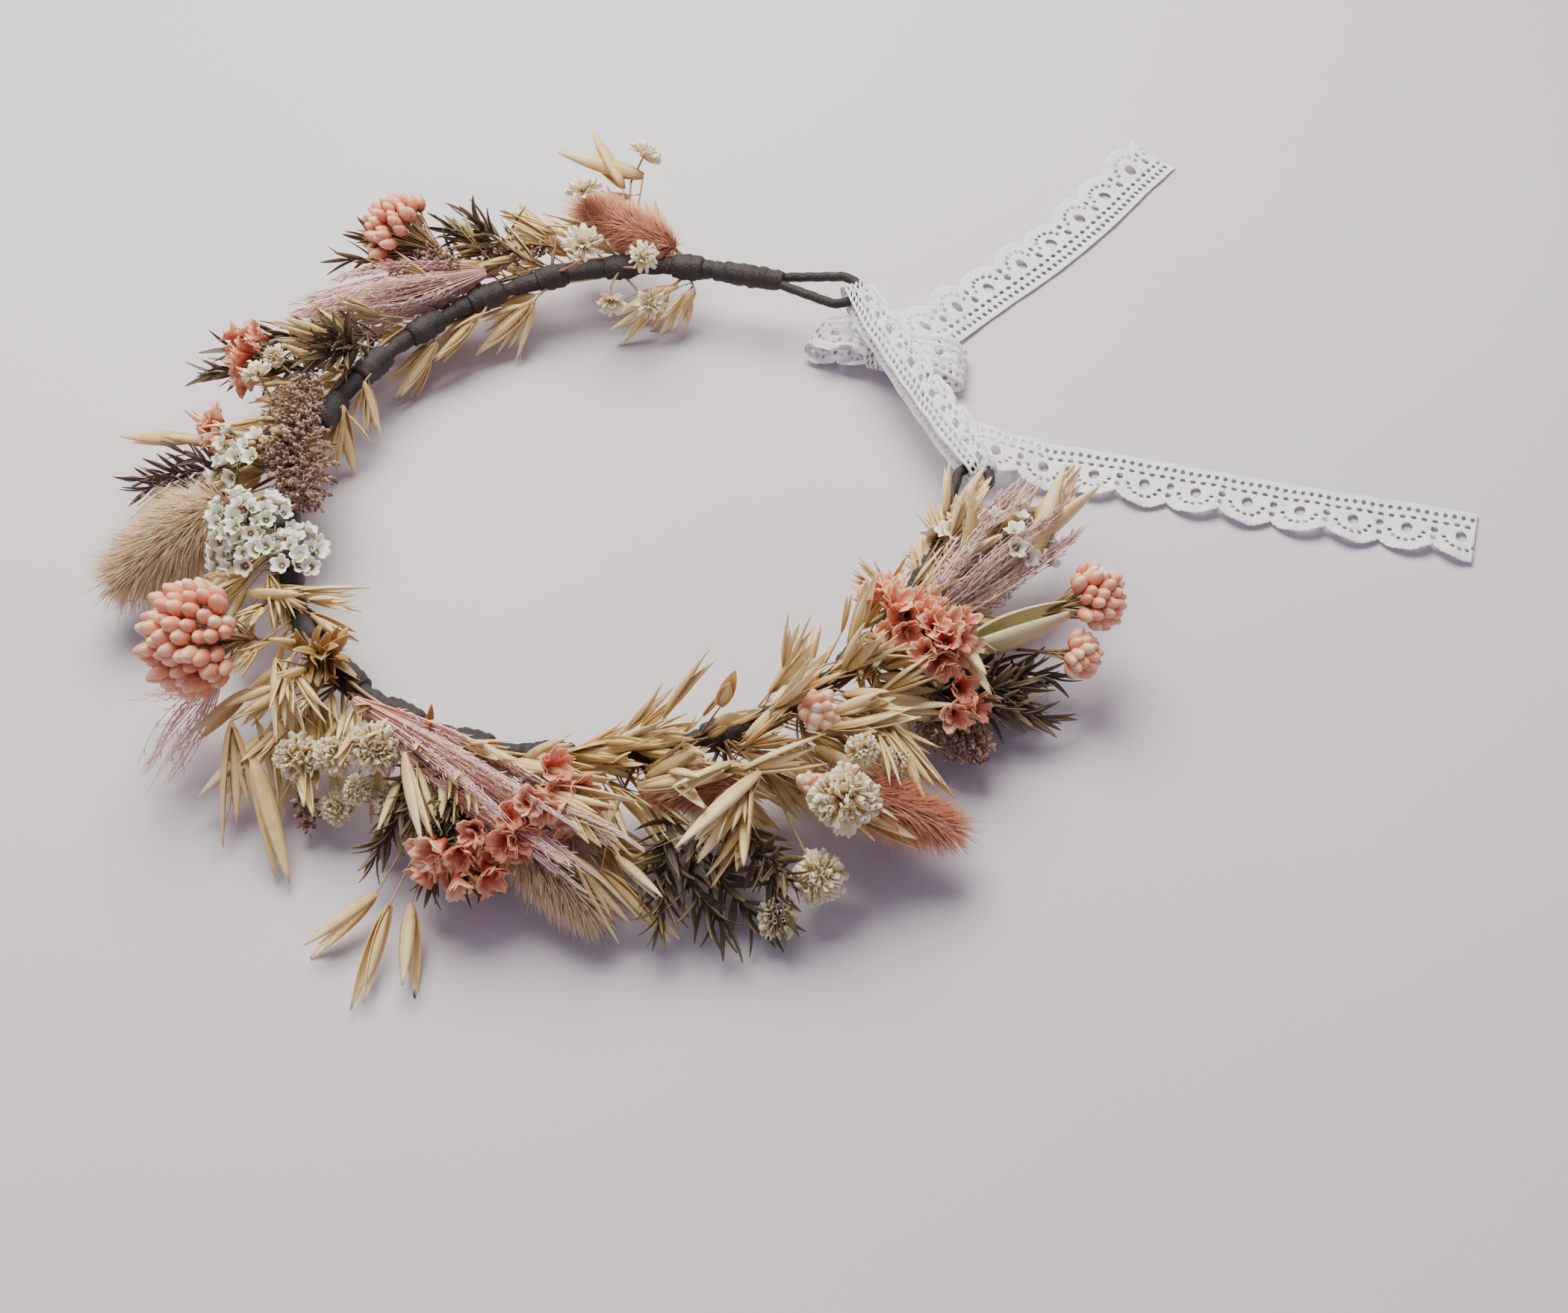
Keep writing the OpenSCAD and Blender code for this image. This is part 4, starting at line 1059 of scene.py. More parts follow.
def pompom(bunch, a, out, up, width):
    centre = at(a, out, up)
    root = at(a, out * 0.4, up * 0.4)
    bunch.twig(list(stem_path(root, a)) + [(root + centre) / 2, centre], 0.4 * mm, 0.3 * mm, 0.4)
    count = 110 + int(width * 9)
    for i in range(count):
        lift = 1 - 2 * (i + 0.5) / count
        swing = i * golden_turn
        flat_r = math.sqrt(1 - lift * lift)
        way = np.array([flat_r * math.cos(swing), flat_r * math.sin(swing), lift])
        lump = 1 + 0.1 * math.sin(3 * way[0] + 5 * way[1] + a) + 0.06 * math.sin(9 * way[2] + a)
        size = width * mm * 0.21 * rng.uniform(0.8, 1.15)
        bunch.seat(centre + way * (width / 2 * mm * lump - size * 0.85), tilted(way, 26), size)


def daisy(bunch, foot, face, width):
    foot, face = at(*foot), at(*face)
    ahead = (face - foot) / np.linalg.norm(face - foot)
    turn = turned_to(ahead)
    bunch.twig([foot, face - ahead * width * mm * 0.3], 0.35 * mm, 0.3 * mm, 0.4)
    seat_at = face - ahead * width * mm * 0.35
    for count, open_at, share in ((13, 74, 0.5), (12, 52, 0.48), (9, 30, 0.42), (6, 12, 0.36)):
        for i in range(count):
            swing = (i + rng.uniform(-0.15, 0.15)) / count * 2 * math.pi + open_at
            lean = math.radians(open_at + rng.normal(0, 5))
            way = turn @ np.array([math.sin(lean) * math.cos(swing),
                                   math.sin(lean) * math.sin(swing), math.cos(lean)])
            bunch.seat(seat_at + way * 0.3 * mm, way, width * mm * share, 2)


def everlastings(node, balls, rosettes):
    bunch = Bunch()
    for ball in balls:
        pompom(bunch, *ball)
    for foot, face, width in rosettes:
        bunch.twig(stem_path(at(*foot), foot[0]), 0.4 * mm, 0.35 * mm, 0.4)
        daisy(bunch, foot, face, width)
    grow(node + "_petals", bunch, [ball_petal, ray_petal], [stem_finish, cream_finish], [node])


everlastings("pompoms_left", [(297, 24, 0, 12), (301, 19, 1, 10), (307, 14, 7, 13),
                              (306, 22, -3, 8), (303, 26, -10, 9), (310, 20, -6, 9)], [])
everlastings("pompoms_right", [(366, 38, 10, 15.5), (361, 45, -6, 12.5), (356, 48, -12, 10),
                               (371, 29, 11, 8), (374, 33, 5, 7)], [])
everlastings("pale_buds_left", [(225, 14, 17, 6)], [((231, 10, 10), (230, 14, 22), 9)])
everlastings("daisies_left_end", [], [
    ((166, -4, 8), (165, -9, 20), 12.5), ((155, -9, 7), (152, -14, 17), 9.5),
    ((154, -11, -6), (151, -20, 3), 9.5), ((161, -11, 2), (161, -19, 0), 9.5),
    ((157, 24, 13), (154, 30, 22), 10.5), ((164, 10, 15), (164, 13, 24), 11)])

# ---------------------------------------------------------------- plumes
# Dyed grass plumes: a bound brush of fine strands that opens towards the tip, each strand
# set with tiny slender seeds.
plume_neck = 0.12  # width where it is bound, over its full width
plume_seed = pattern("plume_seed", [spindle(4, 3, lambda t: 0.085 * math.sin(
    math.pi * (0.05 + 0.9 * t)) ** 0.7, lambda t: (0.1 * t * t, 0, t))])
plume_finishes = {
    "pink_plume": dried_finish("pink_plume", [(0.0, (0.74, 0.28, 0.24)),
                                              (0.35, (0.91, 0.50, 0.44)),
                                              (0.7, (0.96, 0.68, 0.60)),
                                              (1.0, (0.98, 0.83, 0.74))],
                               rough=0.7, glow=0.2, sheen=0.2),
    "mauve_plume": dried_finish("mauve_plume", [(0.0, (0.42, 0.20, 0.17)),
                                                (0.35, (0.68, 0.42, 0.37)),
                                                (0.7, (0.83, 0.61, 0.53)),
                                                (1.0, (0.90, 0.78, 0.64))],
                                rough=0.7, glow=0.2, sheen=0.2, tone_share=0.7,
                                along_share=0.2)}


def plume(foot, tip, width, strands, seeds=13, seed_l=2.6, bunch=None):
    foot_at, tip_at = at(*foot), at(*tip)
    ahead = tip_at - foot_at
    turn = turned_to(ahead)
    bunch = bunch or Bunch()
    locks = max(5, strands // 11)
    lock_wave = rng.normal(0, 1.5, (locks, 2, 3)) * mm
    lock_bend = rng.uniform([2, 5], [5, 10], (locks, 2))
    lock_long = rng.uniform(0.68, 1.04, locks)
    lock_tone = rng.random(locks)
    t = np.linspace(0, 1, 9)
    opened = np.sin(np.minimum(t * 1.2, 1) * math.pi / 2)
    spread = width / 2 * mm * (plume_neck + (1 - plume_neck) * opened)
    for i in range(strands):
        k = i % locks
        r, swing = math.sqrt((k + 0.5) / locks), k * golden_turn
        own = rng.normal(0, 0.62 / math.sqrt(locks), 2)
        aside = (np.array([r * math.cos(swing), r * math.sin(swing)])
                 + own * (1.15 - 0.85 * t ** 1.5)[:, None])
        spot = np.column_stack([aside, np.zeros(9)]) @ turn.T * spread[:, None]
        path = (foot_at + ahead * (t * lock_long[k] * rng.uniform(0.88, 1.03))[:, None] + spot
                + lock_wave[k, 0] * (t * np.sin(t * lock_bend[k, 0]))[:, None]
                + lock_wave[k, 1] * (t ** 2 * np.sin(t * lock_bend[k, 1]))[:, None])
        path[:, 2] = np.maximum(path[:, 2], 0.6 * mm)
        tone = 0.6 * lock_tone[k] + 0.4 * rng.random()
        bunch.twig(path, 0.2 * mm, 0.1 * mm, tone)
        for n in range(seeds):
            j = 1.6 + (n + rng.random()) / (seeds + 1) * 6.3
            low = int(j)
            spot_at = path[low] + (path[min(low + 1, 8)] - path[low]) * (j - low)
            way = path[min(low + 1, 8)] - path[max(low - 1, 0)]
            bunch.seat(spot_at, tilted(way, rng.uniform(8, 36)), seed_l * mm
                       * rng.uniform(0.7, 1.2), 1, tone)
    return bunch


def plume_piece(node, bunch, finish_slot):
    finish = plume_finishes[finish_slot]
    grow(node + "_strands", bunch, [plume_seed], [finish, finish], [node], 3)


for node, foot, tip, width, strands in (
        ("pink_plume_left", (184, 4, 6), (214, 30, 5), 18, 170),
        ("pink_plume_front", (299, 6, 7), (341, 36, 3), 20, 240)):
    plume_piece(node, plume(foot, tip, width, strands), "pink_plume")
plume_piece("mauve_plume_right", plume((389, 8, 6), (421, 30, 3), 23, 240, 12, 2.8),
            "mauve_plume")
wisps = plume((279, 26, 0), (285, 60, -13), 13, 26, 7, 2.2)
wisps = plume((279, 26, 0), (272, 48, -8), 9, 16, 7, 2.2, bunch=wisps)
plume_piece("pink_wisps_left", wisps, "pink_plume")

# ---------------------------------------------------------------- leafy twigs
# Dried evergreen twigs with narrow pointed leaves set all round them, dark olive to brown,
# and small golden leaves of the same kind.


def pointed_leaf(half_width, fold, arch):
    t = np.linspace(0, 1, 8)[:, None]
    s = np.linspace(-1, 1, 5)[None, :]
    w = half_width * np.sin(math.pi * (0.04 + 0.94 * t) ** 0.8) ** 0.75
    x = fold * np.abs(s) * w + arch * t ** 2 + 0 * s
    return blade(np.stack([x, w * s, t + 0 * s], -1), 0.02)


needle_leaf = pattern("needle_leaf", [pointed_leaf(0.072, 0.5, -0.1)])
bent_leaf = pattern("bent_leaf", [pointed_leaf(0.085, 0.4, -0.26)])
gold_leaf = pattern("gold_leaf", [pointed_leaf(0.17, 0.45, -0.15)])
leaf_finishes = {
    "olive_leaf": dried_finish("olive_leaf", [(0.0, (0.020, 0.016, 0.010)),
                                              (0.4, (0.062, 0.048, 0.022)),
                                              (0.75, (0.15, 0.11, 0.045)),
                                              (1.0, (0.30, 0.20, 0.08))],
                               rough=0.5, glow=0.05, veins=5),
    "umber_seed": dried_finish("umber_leaf", [(0.0, (0.026, 0.016, 0.013)),
                                              (0.5, (0.075, 0.045, 0.030)),
                                              (1.0, (0.20, 0.12, 0.07))],
                               rough=0.55, glow=0.05, veins=5),
    "golden_leaf": dried_finish("golden_leaf", [(0.0, (0.16, 0.085, 0.022)),
                                                (0.5, (0.36, 0.22, 0.065)),
                                                (1.0, (0.60, 0.44, 0.17))],
                                rough=0.5, glow=0.1, veins=5)}


def leafy_twigs(node, twigs, finish_slot, leaves=(needle_leaf, bent_leaf), more=3.2, forks=2):
    bunch = Bunch()
    for foot, tip, count, length in twigs:
        foot_at, tip_at = at(*foot), at(*tip)
        bunch.twig(stem_path(foot_at, foot[0]), 0.6 * mm, 0.5 * mm, 0.1)
        reach = tip_at - foot_at
        sprigs = [(foot_at, reach, round(count * more))]
        for _ in range(forks):
            start = foot_at + reach * rng.uniform(-0.25, 0.3)
            sprigs.append((start, tilted(reach, rng.uniform(16, 44)) * np.linalg.norm(reach)
                           * rng.uniform(0.45, 0.8), round(count * more * 0.6)))
        for start, ahead, total in sprigs:
            turn = turned_to(ahead)
            bow = np.cross(ahead, up) * rng.normal(0, 0.06)
            t = np.linspace(0, 1, 6)[:, None]
            bunch.twig(start + ahead * 0.86 * t + bow * np.sin(t * math.pi), 0.5 * mm,
                       0.25 * mm, 0.1)
            for i in range(total):
                share = (i + 0.5) / total
                spot = start + ahead * 0.86 * share + bow * math.sin(share * math.pi)
                swing = i * golden_turn
                open_at = math.radians(rng.uniform(30, 56) * (1.12 - 0.8 * share ** 3))
                way = turn @ np.array([math.sin(open_at) * math.cos(swing),
                                       math.sin(open_at) * math.sin(swing), math.cos(open_at)])
                size = length * mm * rng.uniform(0.75, 1.15) * (1 - 0.2 * share)
                bunch.seat(spot, way, size, 1 if rng.random() < 0.6 else 2)
    grow(node + "_leaves", bunch, list(leaves), [leaf_finishes["umber_seed"],
         leaf_finishes[finish_slot]], [node])


for node, twigs in {
        "needle_leaves_back_left": [((176, 9, 4), (187, 23, 12), 9, 12),
                                    ((186, 14, 3), (203, 36, 11), 9, 12)],
        "needle_leaves_left": [((208, 8, 3), (220, 32, 10), 10, 12),
                               ((219, 16, 1), (226, 42, 4), 10, 12),
                               ((212, 2, 7), (222, 8, 14), 7, 11)],
        "needle_leaves_front_left": [((313, 12, 0), (312, 38, -7), 11, 10),
                                     ((317, 14, 0), (320, 40, -9), 11, 10),
                                     ((320, 10, -2), (325, 34, -8), 9, 10)],
        "needle_leaves_front_right": [((351, 22, -2), (351, 52, -10.5), 11, 12),
                                      ((347, 24, -2), (344, 48, -9), 9, 11),
                                      ((355, 26, -2), (356, 54, -10), 9, 11)],
        "needle_leaves_right": [((388, 22, -6), (393, 48, -10.5), 11, 12),
                                ((393, 18, -5), (399, 44, -11), 9, 11)]}.items():
    leafy_twigs(node, twigs, "olive_leaf", forks=1 if node.endswith("front_right") else 2)
leafy_twigs("dark_twigs_left", [((239, 26, -4), (240, 54, -8.5), 8, 10),
                                ((244, 22, -6), (243, 46, -12), 6, 9)], "umber_seed")
leafy_twigs("golden_leaves_left", [((286, 4, 4), (291, 3, 12), 11, 12),
                                   ((309, 3, 3), (314, 3, 6), 4, 8)], "golden_leaf",
            (gold_leaf, gold_leaf), 2.4, 0)

# ---------------------------------------------------------------- astilbe and seed heads
# Brown astilbe and seed heads: a stem with short side twigs, thick with tiny crumpled
# grains. Each is bound to the ring by its own stem.
grain_l = 1.5 * mm
grain = pattern("grain", [spindle(4, 4, lambda t: 0.36 * math.sin(
    math.pi * (0.08 + 0.84 * t)) ** 0.6, lambda t: (0.12 * t, 0.1 * t * t, t - 0.5))])
loose_grain = pattern("loose_grain", [petal(1.0, 0.3, 0.35, 0.2)])
seed_finish = dried_finish("umber_seed", [(0.0, (0.085, 0.045, 0.032)),
                                          (0.35, (0.23, 0.135, 0.095)),
                                          (0.65, (0.40, 0.265, 0.20)),
                                          (1.0, (0.58, 0.42, 0.32))],
                           tone_share=0.8, along_share=0.15, veins=3, rough=0.7)


def grain_spike(bunch, foot, tip, width, side_twigs, grains):
    foot_at, tip_at = at(*foot), at(*tip)
    ahead = tip_at - foot_at
    turn = turned_to(ahead)
    bunch.twig(stem_path(foot_at, foot[0]), 0.5 * mm, 0.45 * mm, 0.2)
    bunch.twig([foot_at, foot_at + ahead * 0.9], 0.45 * mm, 0.2 * mm, 0.2)
    for i in range(side_twigs):
        share = (i + 0.5) / side_twigs
        swing = i * golden_turn
        girth = width / 2 * mm * math.sin(math.pi * (0.12 + 0.82 * share)) ** 0.7
        root = foot_at + ahead * share * 0.85
        way = turn @ np.array([math.cos(swing), math.sin(swing), 0.0])
        end = root + way * girth + ahead * 0.12
        end[2] = max(end[2], 1.2 * mm)
        bunch.twig([root, (root + end) / 2, end], 0.2 * mm, 0.12 * mm, 0.3)
        for k in range(grains):
            far = (k + 0.7) / grains
            spot = root + (end - root) * far + rng.normal(0, 0.42, 3) * mm
            spot[2] = max(spot[2], 1.0 * mm)
            bunch.seat(spot, tilted(end - root, 45), grain_l * rng.uniform(0.6, 1.2),
                       1 if rng.random() < 0.7 else 2)


def grain_heads(node, heads):
    bunch = Bunch()
    for foot, tip, width, side_twigs, grains in heads:
        grain_spike(bunch, foot, tip, width, side_twigs, grains)
    grow(node + "_grains", bunch, [grain, loose_grain], [stem_finish, seed_finish], [node],
         4)


grain_heads("astilbe_left", [((230, 4, 7), (255, -8, 8), 20, 95, 17),
                             ((222, 6, 8), (246, 3, 13), 16, 60, 13)])
grain_heads("seed_heads_back_left", [((171, 8, 5), (184, 11, 8), 9, 40, 10),
                                     ((188, 7, 9), (193, 20, 12), 8, 30, 9)])
grain_heads("astilbe_right", [((384, 18, -5), (385, 42, -9), 15, 60, 13)])
grain_heads("bud_twig_left", [((299, 29, -5), (301, 34, -15), 6, 20, 6)])

# ---------------------------------------------------------------- green pod
# One big unbleached oat husk, still pale green: two papery halves that close on each
# other, on a stalk of its own that is bound to the ring.
pod_finish = dried_finish("green_husk", [(0.0, (0.36, 0.37, 0.17)), (0.4, (0.56, 0.55, 0.31)),
                                         (0.75, (0.72, 0.69, 0.46)), (1.0, (0.80, 0.76, 0.56))],
                          veins=9, relief=0.4, rough=0.5, glow=0.15)
wide_husk = pattern("wide_husk", [turn_about_y(glume(1.0, 0.15, 0.0), 3), turn_about_y(
    half_round(glume(0.95, 0.145, 0.0)), -3)])
pod = Bunch()
pod_foot, pod_tip = at(393, 20, 0), at(404, 43, 5)
pod.twig(stem_path(pod_foot, 393), 0.6 * mm, 0.4 * mm, 0.6)
pod.seat(pod_foot, pod_tip - pod_foot, np.linalg.norm(pod_tip - pod_foot), 1)
grow("green_pod_husk", pod, [wide_husk], [stem_finish, pod_finish], ["green_pod_right"])

# The repeated shapes were only copied from, so they go once all the plants have grown.
for shape in patterns:
    shape_mesh = shape.data
    bpy.data.objects.remove(shape)
    bpy.data.meshes.remove(shape_mesh)

# ---------------------------------------------------------------- cotton lace ribbon
# White cotton crochet lace, straight on one edge and scalloped on the other: a band of
# ladder holes, an oval eyelet over every scallop and a fan of small holes round it. The
# ribbon is drawn through both end loops, tied in a bow, and its two tails lie on the table.
lace_w = 19 * mm
lace_repeat = 14.5 * mm
lace_cell = 0.42 * mm
thread_d = 0.5 * mm


def lace_solid(u, v):
    """How far a place of the flat lace is inside its threads, in metres; holes are negative."""
    u, v = u / mm, v / mm
    width, repeat = lace_w / mm, lace_repeat / mm
    turn = u / repeat * math.pi
    scallop = width - 3.4 * (1 - np.abs(np.sin(turn)) ** 0.75)
    picot = 0.34 * np.abs(np.sin(turn * 9))
    solid = np.minimum(v, scallop - v + picot)
    near = (u + repeat / 2) % repeat - repeat / 2
    mid = near - np.where(near >= 0, 1, -1) * repeat / 2

    def hole(across, down, at_v, half_u, half_v):
        far = np.sqrt((across / half_u) ** 2 + ((down - at_v) / half_v) ** 2)
        return (far - 1) * min(half_u, half_v)

    step = repeat / 6
    ladder = (u + step / 2) % step - step / 2
    solid = np.minimum(solid, hole(ladder, v, 2.9, 0.62, 0.95))
    step = repeat / 5
    mesh_row = (u + step / 2) % step - step / 2
    solid = np.minimum(solid, hole(mesh_row, v, 6.0, 0.85, 0.7))
    solid = np.minimum(solid, hole(mid, v, 10.3, 1.5, 2.1))
    solid = np.minimum(solid, hole(near, v, 9.4, 1.0, 1.35))
    solid = np.minimum(solid, hole(near, v, 13.0, 0.8, 1.0))
    for lean in np.radians([-78, -52, -26, 0, 26, 52, 78]):
        solid = np.minimum(solid, hole(mid - 4.6 * math.sin(lean), v,
                                       10.6 + 4.7 * math.cos(lean), 0.66, 0.66))
    return solid * mm


def lace_cut(length, start=0.0):
    """The flat lace as a grid of threads: its places, the cells kept and its cloth area."""
    u = np.arange(0, length + lace_cell / 2, lace_cell)
    v = np.arange(-0.5 * mm, lace_w + 0.5 * mm, lace_cell)
    grid_u, grid_v = np.meshgrid(u, v, indexing="ij")
    value = lace_solid(grid_u + start, grid_v)
    kept = (value[1:, 1:] + value[:-1, 1:] + value[1:, :-1] + value[:-1, :-1]) > 0
    around = np.pad(kept, 1)
    whole = around[1:, 1:] & around[:-1, 1:] & around[1:, :-1] & around[:-1, :-1]
    edge = ~whole
    edge[0], edge[-1] = False, False
    tiny = lace_cell / 8
    slope_u = (lace_solid(grid_u + start + tiny, grid_v) - value) / tiny
    slope_v = (lace_solid(grid_u + start, grid_v + tiny) - value) / tiny
    steep = np.maximum(slope_u ** 2 + slope_v ** 2, 0.2)
    step_u = np.clip(-value * slope_u / steep, -0.48 * lace_cell, 0.48 * lace_cell)
    step_v = np.clip(-value * slope_v / steep, -0.48 * lace_cell, 0.48 * lace_cell)
    grid_u = grid_u + np.where(edge, step_u, 0)
    grid_v = grid_v + np.where(edge, step_v, 0)
    thick = np.where(whole, 0.3 + 0.2 * np.clip(value / (0.5 * mm), 0, 1), 0.22) * thread_d
    return grid_u, grid_v, kept, thick, kept.sum() * lace_cell ** 2


def lace_mesh(name, cut, lay):
    """Closed lace from its flat cut; lay gives each flat place its place and its normal."""
    grid_u, grid_v, kept, thick, _ = cut
    place, normal = lay(grid_u, grid_v)
    top = place + normal * thick[..., None]
    low = place - normal * thick[..., None]
    rows, cols = grid_u.shape
    count = rows * cols
    quads = grid_faces(rows, cols, False)[kept.ravel()]
    index = np.arange(count).reshape(rows, cols)
    around = np.pad(kept, 1)
    walls = []
    for (di, dj), (a, b) in (((-1, 0), ((0, 0), (0, 1))), ((1, 0), ((1, 1), (1, 0))),
                             ((0, -1), ((1, 0), (0, 0))), ((0, 1), ((0, 1), (1, 1)))):
        bare = kept & ~around[1 + di:around.shape[0] - 1 + di, 1 + dj:around.shape[1] - 1 + dj]
        i, j = np.nonzero(bare)
        p, q = index[i + a[0], j + a[1]], index[i + b[0], j + b[1]]
        walls.append(np.stack([q, p, p + count, q + count], -1))
    faces = np.concatenate([quads, quads[:, ::-1] + count, *walls])
    used, faces = np.unique(faces, return_inverse=True)
    verts = np.concatenate([top.reshape(-1, 3), low.reshape(-1, 3)])[used]
    flat = np.stack([np.tile(grid_u.ravel(), 2), np.tile(grid_v.ravel(), 2),
                     np.zeros(2 * count)], -1)[used]
    mesh = mesh_of(name, verts, [faces.reshape(-1, 4)], flat=flat)
    shape = bmesh.new()
    shape.from_mesh(mesh)
    bmesh.ops.recalc_face_normals(shape, faces=shape.faces)
    shape.to_mesh(mesh)
    shape.free()
    mesh.polygons.foreach_set("use_smooth", np.ones(len(mesh.polygons), bool))
    return mesh


def cotton_lace():
    material, tree, shader = new_material("cotton_lace")
    flat = put(tree, "ShaderNodeAttribute", {"attribute_name": "flat"}).outputs["Vector"]
    stitch = put(tree, "ShaderNodeTexVoronoi", {"feature": "F1"}, Vector=flat, Scale=1150.0,
                 Randomness=0.55)
    twist = put(tree, "ShaderNodeTexNoise", Vector=flat, Scale=3200.0, Detail=3.0)
    shade = put(tree, "ShaderNodeTexNoise", Vector=flat, Scale=140.0, Detail=2.0)
    colour = ramp(tree, shade.outputs["Fac"], [(0.3, (0.87, 0.85, 0.88)),
                                               (0.7, (0.94, 0.93, 0.95))])
    high = put(tree, "ShaderNodeMath", {"operation": "MULTIPLY_ADD"},
               at_0=stitch.outputs["Distance"], at_1=-1.2, at_2=twist.outputs["Fac"])
    bump = put(tree, "ShaderNodeBump", Strength=0.7, Distance=0.00035, Height=high.outputs[0])
    tree.links.new(colour, shader.inputs["Base Color"])
    tree.links.new(bump.outputs["Normal"], shader.inputs["Normal"])
    shader.inputs["Roughness"].default_value = 0.85
    shader.inputs["Subsurface Weight"].default_value = 0.12
    shader.inputs["Subsurface Scale"].default_value = 0.0015
    shader.inputs["Sheen Weight"].default_value = 0.2
    return material


lace_finish = cotton_lace()


def laid_along(points, across, section):
    """A lay: the lace follows the points, its width along across, bent as section says."""
    points, across = np.asarray(points, float), np.asarray(across, float)
    reach = np.concatenate([[0], np.cumsum(np.linalg.norm(np.diff(points, axis=0), axis=1))])

    def lay(u, v):
        def spot(du, dv):
            uu = u + du
            line = np.stack([np.interp(uu, reach, points[:, k]) for k in range(3)], -1)
            past = np.maximum(uu - reach[-1], 0)[..., None]
            line = line + past * (points[-1] - points[-2]) / (reach[-1] - reach[-2])
            side = np.stack([np.interp(uu, reach, across[:, k]) for k in range(3)], -1)
            side /= np.linalg.norm(side, axis=-1, keepdims=True)
            run = np.stack([np.interp(uu + lace_cell, reach, points[:, k])
                            - np.interp(uu - lace_cell, reach, points[:, k])
                            for k in range(3)], -1)
            run /= np.maximum(np.linalg.norm(run, axis=-1, keepdims=True), 1e-9)
            out = np.cross(run, side)
            wide, high = section(uu, v + dv)
            return line + side * wide[..., None] + out * high[..., None]
        here, tiny = spot(0, 0), 0.2 * mm
        normal = np.cross(spot(tiny, 0) - here, spot(0, tiny) - here)
        normal /= np.maximum(np.linalg.norm(normal, axis=-1, keepdims=True), 1e-12)
        return here, normal
    return lay, reach[-1]


def smooth(points, count):
    """A round curve through a few points."""
    points = np.asarray(points, float)
    pad = np.concatenate([[2 * points[0] - points[1]], points, [2 * points[-1] - points[-2]]])
    t = np.linspace(0, len(points) - 1 - 1e-6, count)
    k, f = t.astype(int), (t % 1)[:, None]
    a, b, c, d = pad[k], pad[k + 1], pad[k + 2], pad[k + 3]
    return 0.5 * (2 * b + (c - a) * f + (2 * a - 5 * b + 4 * c - d) * f ** 2
                  + (3 * b - a - 3 * c + d) * f ** 3)


def lace_piece(name, node, mesh, length, area):
    piece = show(name, mesh, lace_finish, [node])


def loop_tip(side):
    angle, turn, loop_r = end_places[side]
    corner, ahead, _ = end_frame(angle, turn)
    return corner + ahead * (sleeve_l + loop_l + loop_r)


left_tip, right_tip = loop_tip("left"), loop_tip("right")
bridge = right_tip - left_tip
bridge_l = np.linalg.norm(bridge)
ahead = bridge / bridge_l
sideways = np.cross(up, ahead)
turn_r = 2.5 * mm

# The bridge between the loops: one strip goes over both loop ends and comes back under
# itself, drawn in narrow and pleated where it passes each loop
top_run = [left_tip + ahead * x * bridge_l + up * (turn_r + 0.5 * mm * math.sin(x * 9))
           for x in np.linspace(0.0, 1.0, 30)]
right_turn = [right_tip + ahead * turn_r * math.sin(a) + up * turn_r * math.cos(a)
              for a in np.linspace(0.2, math.pi - 0.2, 12)]
low_run = [left_tip + ahead * x * bridge_l - up * (turn_r - 0.4 * mm * math.sin(x * 7))
           for x in np.linspace(1.0, 0.0, 30)]
left_turn = [left_tip - ahead * turn_r * math.sin(a) - up * turn_r * math.cos(a)
             for a in np.linspace(0.2, math.pi - 0.35, 12)]
belt_path = np.array(top_run + right_turn + low_run + left_turn)


def pleated(u, v):
    near = np.minimum.reduce([np.abs(u - x) for x in (0.0, bridge_l + 4 * mm,
                                                      2 * bridge_l + 12 * mm)])
    squeeze = 0.42 + 0.20 * np.clip(near / (16 * mm), 0, 1)
    wide = (v - lace_w / 2) * squeeze
    fold = np.sqrt(np.maximum(1 - squeeze ** 2, 0))
    high = (0.95 * mm * fold * np.sin(v / mm * 1.9 + 0.6 * np.sin(u / mm * 0.16))
            + 0.25 * mm * np.sin(u / mm * 0.55 + v / mm * 0.3))
    return wide, high


lay, length = laid_along(belt_path, np.tile(sideways, (len(belt_path), 1)), pleated)
cut = lace_cut(length)
lace_piece("lace_bridge", "lace_strap", lace_mesh("lace_bridge", cut, lay), length, cut[4])

# The bow: two drooping loops and the knot band between them, all from one strip
knot_at = np.array([left_tip[0] + 16 * mm, left_tip[1] + 1 * mm, 8.8 * mm])
bow_lean = math.radians(12)
bow_reach = 24 * mm


def bow_loop(turn, reach, height):
    out = np.array([math.cos(turn), math.sin(turn), 0.0])
    down = -math.sin(bow_lean)
    points = [(0, 1.2), (0.3, height * 0.75), (0.68, height), (0.95, height * 0.55),
              (1.0, -height * 0.15), (0.8, -height * 0.75), (0.4, -height * 0.6), (0, -1.2)]
    return [knot_at + out * x * reach + up * (z * mm + down * x * reach) for x, z in points]


